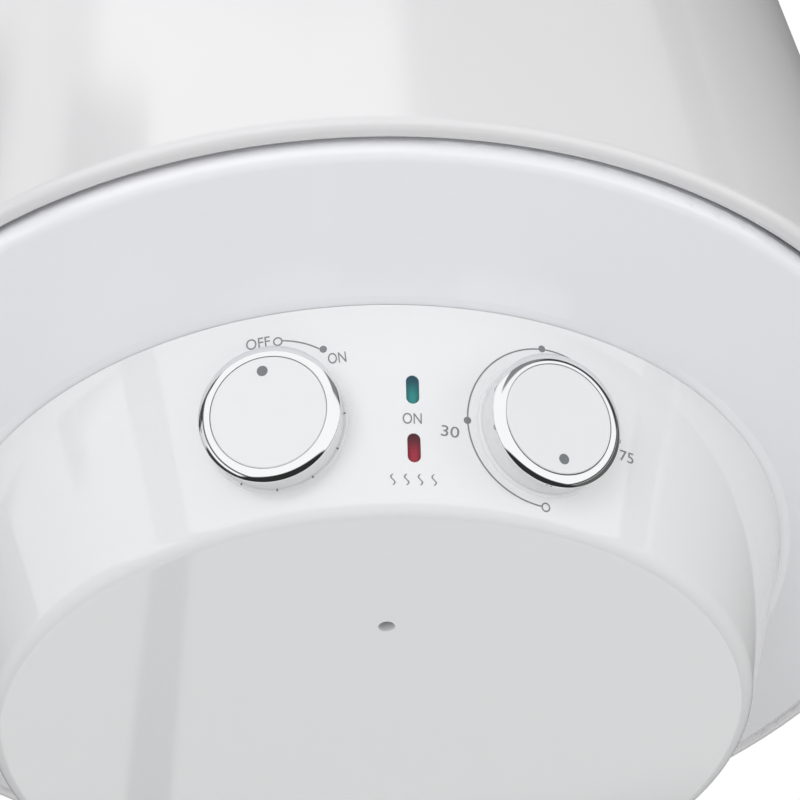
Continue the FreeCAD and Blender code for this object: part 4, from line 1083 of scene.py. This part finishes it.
@dataclass
class ControlCover:
    """The moulded cover: a cone with a flat bottom, knob pads, lamp windows and screw wells."""

    wall: float = 0.0025
    edge: float = 0.0062
    seam_radius: float = 0.1603
    seam_level: float = 0.0638
    lip_radius: float = 0.1594
    lip_level: float = 0.0616
    pad_radius: float = 0.0225
    pad_rise: float = 0.0003
    pad_edge: float = 0.0004
    spindle_hole: float = 0.005
    window_width: float = 0.0041
    window_length: float = 0.0095
    screw_circle: float = 0.0757
    screw_turn: float = -2.4
    boss_radius: float = 0.007
    boss_height: float = 0.014
    well_radius: float = 0.0028
    well_depth: float = 0.006
    screw_hole: float = 0.0017
    support: float = 0.0004
    shell_steps: int = 480
    pad_steps: int = 160
    hole_steps: int = 64
    bend_steps: int = 14
    rim_steps: int = 5

    def build(self) -> None:
        """Mould the cover, pierce it and put it in place of its solid."""
        axis = Matrix.Translation((0.0, CONE.axis_y, CONE.foot))
        knobs = [station.frame() for station in (SWITCH, THERMOSTAT)]
        lamps = [station.frame() for station in (POWER_LAMP, HEATING_LAMP)]
        turns = [math.radians(self.screw_turn + half) for half in (0.0, 180.0)]
        offsets = [(self.screw_circle * math.sin(a), -self.screw_circle * math.cos(a), 0.0) for a in turns]
        screws = [axis @ Matrix.Translation(offset) for offset in offsets]
        wall = self.wall
        pad = button(self.pad_radius, -wall, self.pad_rise, self.pad_edge, self.rim_steps)
        boss = rod(self.boss_radius, wall / 2, self.boss_height)
        spindle = rod(self.spindle_hole, -2 * wall, 2 * wall)
        well = [*rod(self.well_radius, -wall, self.well_depth)[:-1],
                *rod(self.screw_hole, self.well_depth, self.boss_height + wall)[1:]]
        base = joined("control_cover", [turned(self.outline(), self.shell_steps, axis)])
        base = with_tools(base, "UNION", [
            *(turned(pad, self.pad_steps, frame) for frame in knobs),
            *(turned(boss, self.hole_steps, frame) for frame in screws),
        ])
        base = with_tools(base, "DIFFERENCE", [
            *(stadium(self.window_width, self.window_length, -2 * wall, wall, frame) for frame in lamps),
            *(turned(spindle, self.hole_steps, frame) for frame in knobs),
            *(turned(well, self.hole_steps, frame) for frame in screws),
        ])
        cover = add_piece("cover_shell", smoothed(base), WHITE_PLASTIC, Body.HEATER)
        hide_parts("control_cover")

    def outline(self) -> Outline:
        """Draw the shell, with narrow bands where flats meet curves.

        Returns:
            Its outline, from the middle of the lowest face outwards and back inside.
        """
        flat = CONE.foot_radius - self.edge * math.tan((math.pi / 2 - CONE.tilt) / 2)
        bend = arc((flat, self.edge), self.edge, -90.0, -math.degrees(CONE.tilt), self.bend_steps)
        foot = bend[-1][1] + self.support
        head = self.lip_level - self.support
        sideways = self.wall / math.cos(CONE.tilt)
        return [
            (0.0, 0.0),
            (flat - self.support, 0.0),
            *bend,
            (CONE.radius(foot), foot),
            (CONE.radius(head), head),
            (self.lip_radius, self.lip_level),
            (self.seam_radius, self.seam_level),
            (self.seam_radius - self.wall, self.seam_level),
            (self.lip_radius - sideways, self.lip_level),
            (CONE.radius(self.wall) - sideways, self.wall),
            (0.0, self.wall),
        ]


@dataclass
class Knob:
    """A turning knob: a white skirt, a chrome ring and a white face with its mark."""

    name: str
    station: Station
    body: Body
    mark_angle: float
    mark_circle: float
    skirt_radius: float = 0.0214
    skirt_top_radius: float = 0.0204
    skirt_low: float = 0.0004
    skirt_top: float = 0.0083
    skirt_wall: float = 0.0018
    skirt_edge: float = 0.0003
    skirt_lean: float = 8.0
    skirt_steps: int = 5
    web_top: float = 0.0092
    web_thickness: float = 0.002
    hub_radius: float = 0.0055
    hub_low: float = 0.002
    spindle_radius: float = 0.00305
    spindle_top: float = 0.0085
    ring_radius: float = 0.0189
    ring_section: float = 0.00475
    ring_height: float = 0.00585
    ring_inner: float = 0.0182
    ring_outer: float = 0.02205
    ring_foot: float = 0.0084
    ring_weld: float = 0.000002
    face_radius: float = 0.01805
    face_top: float = 0.0107
    face_edge: float = 0.0005
    mark_radius: float = 0.0017
    mark_height: float = 0.00004
    mark_lift: float = 0.00001
    mark_steps: int = 48
    edge_steps: int = 8
    turn_steps: int = 192

    def build(self) -> None:
        """Make the four pieces of the knob in place of its three solids."""
        skirt = add_piece(self.name + "_skirt", self.turned_mesh(self.skirt()), KNOB_WHITE, self.body)
        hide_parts(self.name + "_body")
        chrome = add_piece(self.name + "_chrome", self.chrome(), KNOB_CHROME, self.body)
        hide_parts(self.name + "_ring")
        outline = button(self.face_radius, self.web_top, self.face_top, self.face_edge, self.edge_steps)
        face = add_piece(self.name + "_cap", self.turned_mesh(outline), KNOB_WHITE, self.body)
        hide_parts(self.name + "_face")
        add_piece(self.name + "_mark", self.mark(), DOT_INK, self.body)

    def turned_mesh(self, outline: Outline) -> Mesh:
        """Return an outline's turned solid as a smooth mesh."""
        return smoothed(joined(self.name, [turned(outline, self.turn_steps, self.station.frame())]))

    def skirt(self) -> Outline:
        """Draw the skirt, its web and its hub on the spindle.

        Returns:
            Their common outline.
        """
        soft, lean = self.skirt_edge, self.skirt_lean
        web_low = self.web_top - self.web_thickness
        return [
            (0.0, self.spindle_top),
            (self.spindle_radius, self.spindle_top),
            (self.spindle_radius, self.hub_low),
            (self.hub_radius, self.hub_low),
            (self.hub_radius, web_low),
            (self.ring_inner - self.skirt_wall, web_low),
            (self.skirt_radius - self.skirt_wall, self.skirt_low),
            *arc((self.skirt_radius - soft, self.skirt_low + soft), soft, -90.0, lean, self.skirt_steps),
            *arc((self.skirt_top_radius - soft, self.skirt_top - soft), soft, lean, 90.0, self.skirt_steps),
            (self.ring_inner - soft, self.skirt_top),
            (self.ring_inner - soft, self.web_top),
            (0.0, self.web_top),
        ]

    def chrome(self) -> Mesh:
        """Lead a domed section with upright sides around a circle.

        Returns:
            The bright ring.
        """
        grower = Growth(self.name + "_chrome", {
            "Ring Radius": self.ring_radius,
            "Section Radius": self.ring_section,
            "Inner Radius": self.ring_inner,
            "Outer Radius": self.ring_outer,
            "Foot": self.ring_foot - self.ring_height,
            "Turn Points": 256,
            "Section Points": 160,
        })
        rail = grower.circle(grower["Turn Points"], grower["Ring Radius"])
        section = grower.circle(grower["Section Points"], grower["Section Radius"])
        x, y, _ = grower.split(grower.out("GeometryNodeInputPosition"))
        x = x.apply("MAXIMUM", grower["Inner Radius"] - grower["Ring Radius"])
        x = x.apply("MINIMUM", grower["Outer Radius"] - grower["Ring Radius"])
        y = y.apply("MINIMUM", grower["Foot"] * -1.0)
        values = {"Geometry": section, "Position": grower.vector(x, y, 0.0)}
        shaped = grower.out("GeometryNodeSetPosition", values)
        values = {"Geometry": grower.along(rail, shaped), "Distance": self.ring_weld}
        mesh = grower.grow(grower.out("GeometryNodeMergeByDistance", values), KNOB_CHROME)
        mesh.transform(self.station.frame() @ Matrix.Translation((0.0, 0.0, self.ring_height)))
        return smoothed(mesh)

    def mark(self) -> Mesh:
        """Print the spot that shows which way the knob points.

        Returns:
            The spot.
        """
        angle = math.radians(self.mark_angle)
        x, y = (self.mark_circle * part for part in (math.sin(angle), math.cos(angle)))
        frame = self.station.frame() @ Matrix.Translation((x, y, self.face_top + self.mark_lift))
        return joined("mark", [turned(rod(self.mark_radius, 0.0, self.mark_height), self.mark_steps, frame)])


@dataclass
class PadTicks:
    """The five small strokes beside the switch knob, on the border of its pad."""

    circle: float = 0.02165
    first: float = 91.8
    step: float = 30.8
    count: int = 5
    points: int = 12
    length: float = 0.0008
    width: float = 0.0005
    thickness: float = 0.00005

    def build(self) -> None:
        """Print the strokes on the pad."""
        sweep = self.step * (self.count - 1)
        grower = Growth("pad_ticks", {
            "Circle": self.circle,
            "Count": self.count,
            "Length": self.length,
            "Width": self.width,
            "Thickness": self.thickness,
            "Start": math.radians(90.0 - self.first - sweep),
            "Sweep": math.radians(sweep),
        })
        values = {"Resolution": grower["Count"] * self.points, "Radius": grower["Circle"],
                  "Start Angle": grower["Start"], "Sweep Angle": grower["Sweep"]}
        rail = grower.out("GeometryNodeCurveArc", values, mode="RADIUS")
        strokes = grower.blocks(rail, grower["Length"], grower["Thickness"], grower["Width"])
        mesh = grower.grow(strokes, MARK_INK)
        lift = ControlCover.pad_rise + self.thickness / 2
        mesh.transform(SWITCH.frame() @ Matrix.Translation((0.0, 0.0, lift)))
        add_piece("pad_ticks", mesh, MARK_INK, Body.HEATER)


# The rear fittings


@dataclass
class PipeThread:
    """The thread that shows on the end of a water pipe, as a winding ridge."""

    name: str
    side: int
    radius: float = 0.01042
    ridge: float = 0.0004
    ridge_points: int = 6
    pitch: float = 0.001814
    length: float = 0.0135
    offset: float = 0.05
    axis_y: float = -0.074167
    start: float = -0.3961

    def build(self) -> None:
        """Wind the ridge around the pipe's end."""
        grower = Growth(self.name, {
            "Radius": self.radius,
            "Ridge": self.ridge,
            "Turns": self.length / self.pitch,
            "Length": self.length,
            "Points per Turn": 72,
        })
        values = {"Resolution": grower["Points per Turn"], "Rotations": grower["Turns"],
                  "Start Radius": grower["Radius"], "End Radius": grower["Radius"],
                  "Height": grower["Length"]}
        rail = grower.out("GeometryNodeCurveSpiral", values)
        mesh = grower.grow(grower.along(rail, grower.circle(self.ridge_points, grower["Ridge"])), ZINC)
        mesh.transform(Matrix.Translation((self.side * self.offset, self.axis_y, self.start)))
        ridge = add_piece(self.name, smoothed(mesh), ZINC, Body.HEATER)


@dataclass
class GlandGrip:
    """The ribs that fingers hold on the nut of the cable gland."""

    count: int = 16
    points: int = 8
    circle: float = 0.0104
    width: float = 0.0016
    depth: float = 0.0012
    length: float = 0.0078
    slope: float = 7.0
    shift: float = 0.0018

    def build(self) -> None:
        """Set the ribs around the nut, square to the slope of the cap."""
        grower = Growth("gland_grip", {
            "Circle": self.circle,
            "Count": self.count,
            "Width": self.width,
            "Depth": self.depth,
            "Length": self.length,
        })
        rail = grower.circle(grower["Count"] * self.points, grower["Circle"])
        ribs = grower.blocks(rail, grower["Depth"], grower["Length"], grower["Width"])
        mesh = grower.grow(ribs, BLACK_PLASTIC)
        low, high = (Vector(corner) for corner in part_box("cable_gland_nut"))
        slope = math.radians(self.slope)
        down = Vector((0.0, math.sin(slope), -math.cos(slope)))
        frame = down.to_track_quat("Z", "Y").to_matrix().to_4x4()
        frame.translation = (low + high) / 2 - down * self.shift
        mesh.transform(frame)
        ribs = add_piece("gland_grip", mesh, BLACK_PLASTIC, Body.HEATER)


# The printed marks


@dataclass
class Legends:
    """The grey marks printed on the control cover, placed in millimetres on its stations."""

    line: float = 0.00045
    dot_radius: float = 0.00118
    ring_radius: float = 0.00130
    letter_height: float = 0.0036
    wave_gap: float = 4.2
    wave_sway: float = 0.0006
    wave_steps: int = 20

    def build(self) -> None:
        """Print the marks of the switch, the thermostat and the two lamps."""
        film = InkFilm(SWITCH)
        self.print_group("switch_legend", [
            self.ring(film, (3.29, 27.3)),
            film.dot((17.21, 22.32), self.dot_radius),
            film.arc((0.0, 0.0), 27.75 * MM, self.line, 9.6, 25.6),
            film.letters("OFF", (-3.05, 27.95), self.letter_height, 7.75 * MM),
            film.letters("ON", (21.15, 18.85), self.letter_height, 5.6 * MM),
        ])
        film = InkFilm(THERMOSTAT)
        self.print_group("thermostat_legend", [
            self.ring(film, (1.91, -25.61)),
            *(film.dot(place, self.dot_radius) for place in ((-25.29, -2.03), (-2.07, 27.6), (27.6, 3.4))),
            film.arc((1.2, 1.0), 26.6 * MM, self.line, 181.5, 263.0),
            film.letters("30", (-30.4, -6.6), self.letter_height, 5.6 * MM),
            film.letters("75", (31.4, -1.2), self.letter_height, 5.6 * MM),
        ])
        film = InkFilm(POWER_LAMP)
        self.print_group("power_legend", [film.letters("ON", (-0.35, -9.65), self.letter_height, 5.9 * MM)])
        film = InkFilm(HEATING_LAMP)
        places = [(-0.4 + step * self.wave_gap, -10.3) for step in (-1.5, -0.5, 0.5, 1.5)]
        self.print_group("heating_legend", [self.wave(film, place) for place in places])

    @staticmethod
    def print_group(name: str, films: Sequence[Solid]) -> None:
        """Add films that belong together as one piece."""
        add_piece(name, joined(name, films), MARK_INK, Body.HEATER)

    def ring(self, film: InkFilm, centre: Place) -> Solid:
        """Return the small open ring that marks off."""
        return film.arc(centre, self.ring_radius, self.line, 0.0, 360.0)

    def wave(self, film: InkFilm, centre: Place) -> Solid:
        """Print one upright wavy stroke, the common sign for heat.

        Args:
            film: the ink.
            centre: the stroke's middle.

        Returns:
            The stroke.
        """
        x, y = (part * MM for part in centre)
        shares = [step / self.wave_steps for step in range(self.wave_steps + 1)]
        lines = [[(x + self.wave_sway * math.sin(2 * math.pi * share) + side * self.line / 2,
                   y + (share - 0.5) * self.letter_height) for share in shares] for side in (-1, 1)]
        return film.strip(*lines, False)


# The studio


@dataclass(frozen=True)
class Patch:
    """A soft-edged area of the studio's surround, in degrees as seen from the knobs."""

    azimuth: float
    width: float
    elevation: float
    height: float
    tone: float
    soft: float = 4.0

    def share(self, azimuth: Number, elevation: Number) -> Number:
        """Work out how much of the patch shows in a direction.

        Args:
            azimuth: the direction's turn from the front.
            elevation: its rise above level.

        Returns:
            The share, from 0 to 1.
        """
        sideways = abs((azimuth - self.azimuth).apply("WRAP", 180.0, -180.0))
        upwards = abs(elevation - self.elevation)
        return self.fade(sideways, self.width) * self.fade(upwards, self.height)

    def fade(self, offset: Number, size: float) -> Number:
        """Return 1 within a size's half and 0 outside it, with the patch's soft edge."""
        return 1.0 - offset.rise((size - self.soft) / 2, (size + self.soft) / 2)


@dataclass(frozen=True)
class Surround:
    """A round room of light and dark panels, which only polished surfaces see."""

    centre: Point
    radius: float = 0.92
    tone: float = 1.08
    patches: tuple[Patch, ...] = (
        Patch(-25, 74, 50, 16, 2.1, 8),
        Patch(44, 76, 55, 26, 0.65, 6),
        Patch(40, 60, 26, 32, 0.26, 5),
        Patch(0, 360, 82, 40, 0.30, 10),
        Patch(125, 94, 8, 130, 0.12, 7),
        Patch(72.5, 9, 10, 120, 0.10, 1.2),
        Patch(58, 40, 25, 30, 0.06, 3),
        Patch(-129, 98, 4, 96, 0.05, 6),
        Patch(-73, 14, 23, 26, 0.05, 2),
        Patch(-97, 22, 6, 15, 0.72, 1.5),
        Patch(-76, 21, 2, 12, 0.85, 1.5),
        Patch(-57, 18, 34, 34, 0.08, 3),
        Patch(-61.7, 9.6, 0, 90, 0.15, 1),
        Patch(0, 360, -70, 60, 0.03, 6),
        Patch(180, 60, -50, 18, 0.4, 6),
        Patch(178, 64, -34, 22, 1, 4),
        Patch(-172.5, 2.5, -31, 36, 0.25, 0.4),
    )

    def build(self) -> None:
        """Put the surround in the scene."""
        shell = bmesh.new()
        bmesh.ops.create_uvsphere(shell, u_segments=128, v_segments=64, radius=self.radius)
        bmesh.ops.translate(shell, verts=shell.verts, vec=self.centre)
        surround = put("surround", joined("surround", [shell]))
        surround.data.materials.append(self.material())
        surround.visible_camera = False
        surround.visible_diffuse = False
        surround.visible_shadow = False
        surround.visible_transmission = False
        surround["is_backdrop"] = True

    def material(self) -> Material:
        """Paint the panels' tones as one glowing material.

        Returns:
            The material.
        """
        shader = Shader("surround")
        x, y, z = shader.axes()
        degrees = 180.0 / math.pi
        azimuth = (x - self.centre[0]).apply("ARCTAN2", self.centre[1] - y) * degrees
        elevation = ((z - self.centre[2]) / self.radius).apply("ARCSINE") * degrees
        tone = self.tone
        for patch in self.patches:
            tone = tone + patch.share(azimuth, elevation) * (patch.tone - tone)
        glow = shader.out("ShaderNodeEmission", {"Color": (*WHITE, 1.0), "Strength": tone})
        shader.node("ShaderNodeOutputMaterial", {"Surface": glow})
        return shader.material


@dataclass(frozen=True)
class Panel:
    """One soft panel lamp, which leaves no glare on polished surfaces."""

    name: str
    place: Point
    target: Point
    size: Place
    glow: float
    colour: Colour

    def build(self) -> None:
        """Hang the lamp, its face as bright as its glow, where 1 is white."""
        data = bpy.data.lights.new(self.name, "AREA")
        data.shape = "RECTANGLE"
        data.size, data.size_y = self.size
        data.color = self.colour
        data.energy = self.glow * math.pi * self.size[0] * self.size[1]
        lamp = put(self.name, data)
        lamp.location = self.place
        lamp.rotation_euler = (Vector(self.target) - lamp.location).to_track_quat("-Z", "Y").to_euler()
        lamp.visible_glossy = False


KNOBS: Point = (0.0, -0.39, -0.41)


@dataclass
class Studio:
    """The camera, the lamps, the world, the surround and the floor."""

    eye: Point = (-0.05989, -0.74903, -0.73888)
    look: Point = (0.11359, 0.72251, 0.68197)
    up: Point = (-0.02393, -0.68422, 0.72888)
    lens: float = 71.634
    sensor: float = 36.0
    near: float = 0.01
    floor_z: float = -1.35
    floor_half: float = 6.0
    room_glow: float = 0.62
    panels: tuple[Panel, ...] = (
        Panel("key_panel", (-0.82, -1.99, -0.76), KNOBS, (1.2, 1.2), 2.4, (0.985, 0.99, 1.0)),
        Panel("side_panel", (1.9, -1.1, -0.5), KNOBS, (1.2, 1.2), 1.4, (1.0, 0.99, 0.985)),
        Panel("under_panel", (0.45, -1.3, -1.3), (0.45, -1.3, -0.3), (3.4, 2.2), 0.12, (0.985, 0.99, 1.0)),
    )

    def build(self) -> None:
        """Set up everything around the heater."""
        self.add_camera()
        self.add_world()
        for panel in self.panels:
            panel.build()
        Surround(KNOBS).build()
        self.add_floor()
        bpy.context.scene.view_settings.view_transform = "Standard"

    def add_camera(self) -> None:
        """Place the camera at the photograph's viewpoint."""
        data = bpy.data.cameras.new("camera")
        data.lens = self.lens
        data.sensor_width = self.sensor
        data.clip_start = self.near
        camera = put("camera", data)
        back = -Vector(self.look).normalized()
        side = Vector(self.up).cross(back).normalized()
        frame = Matrix((side, back.cross(side), back)).transposed().to_4x4()
        frame.translation = Vector(self.eye)
        camera.matrix_world = frame
        bpy.context.scene.camera = camera

    def add_world(self) -> None:
        """Fill the room with a soft even glow and show white behind the heater."""
        world = bpy.data.worlds.new("studio")
        world.use_nodes = True
        bpy.context.scene.world = world
        sky = Nodes(world.node_tree)
        seen = sky.seen()
        values = {"Color": (*WHITE, 1.0), "Strength": seen + (1.0 - seen) * self.room_glow}
        sky.node("ShaderNodeOutputWorld", {"Surface": sky.out("ShaderNodeBackground", values)})

    def add_floor(self) -> None:
        """Lay a pale floor under the heater."""
        signs = ((-1, -1), (1, -1), (1, 1), (-1, 1))
        mesh = bpy.data.meshes.new("floor")
        mesh.from_pydata([(x * self.floor_half, y * self.floor_half, self.floor_z) for x, y in signs], [],
                         [(0, 1, 2, 3)])
        mesh.materials.append(FLOOR.material())
        floor = put("floor", mesh)
        floor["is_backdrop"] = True


def dress_solids(frame: dict[str, Any]) -> None:
    """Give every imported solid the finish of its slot.

    Args:
        frame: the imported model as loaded.
    """
    slots = {part["node"]: part["material_slot"] for part in frame["record"]["subparts"]}
    for node, solid in frame["nodes"].items():
        solid.data.materials.clear()
        finish = NODE_FINISHES.get(node) or FINISHES[slots[node]]
        solid.data.materials.append(finish.material())
        LOG.info("%s: %s", node, finish.name)


def corners() -> list[list[float]]:
    """Return the whole object's lowest and highest corners as plain numbers."""
    return [[float(part) for part in corner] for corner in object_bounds()]


def main() -> None:
    """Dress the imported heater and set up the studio."""
    logging.basicConfig(level=logging.INFO, format="%(name)s: %(message)s")
    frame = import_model()
    Studio().build()
    dress_solids(frame)
    ControlCover().build()
    Knob("switch_knob", SWITCH, Body.SWITCH_KNOB, -2.0, 13.5 * MM).build()
    Knob("thermostat_knob", THERMOSTAT, Body.THERMOSTAT_KNOB, 170.7, 13.3 * MM).build()
    PadTicks().build()
    PipeThread("inlet_thread", 1).build()
    PipeThread("outlet_thread", -1).build()
    GlandGrip().build()
    Legends().build()


if __name__ == "__main__":
    main()
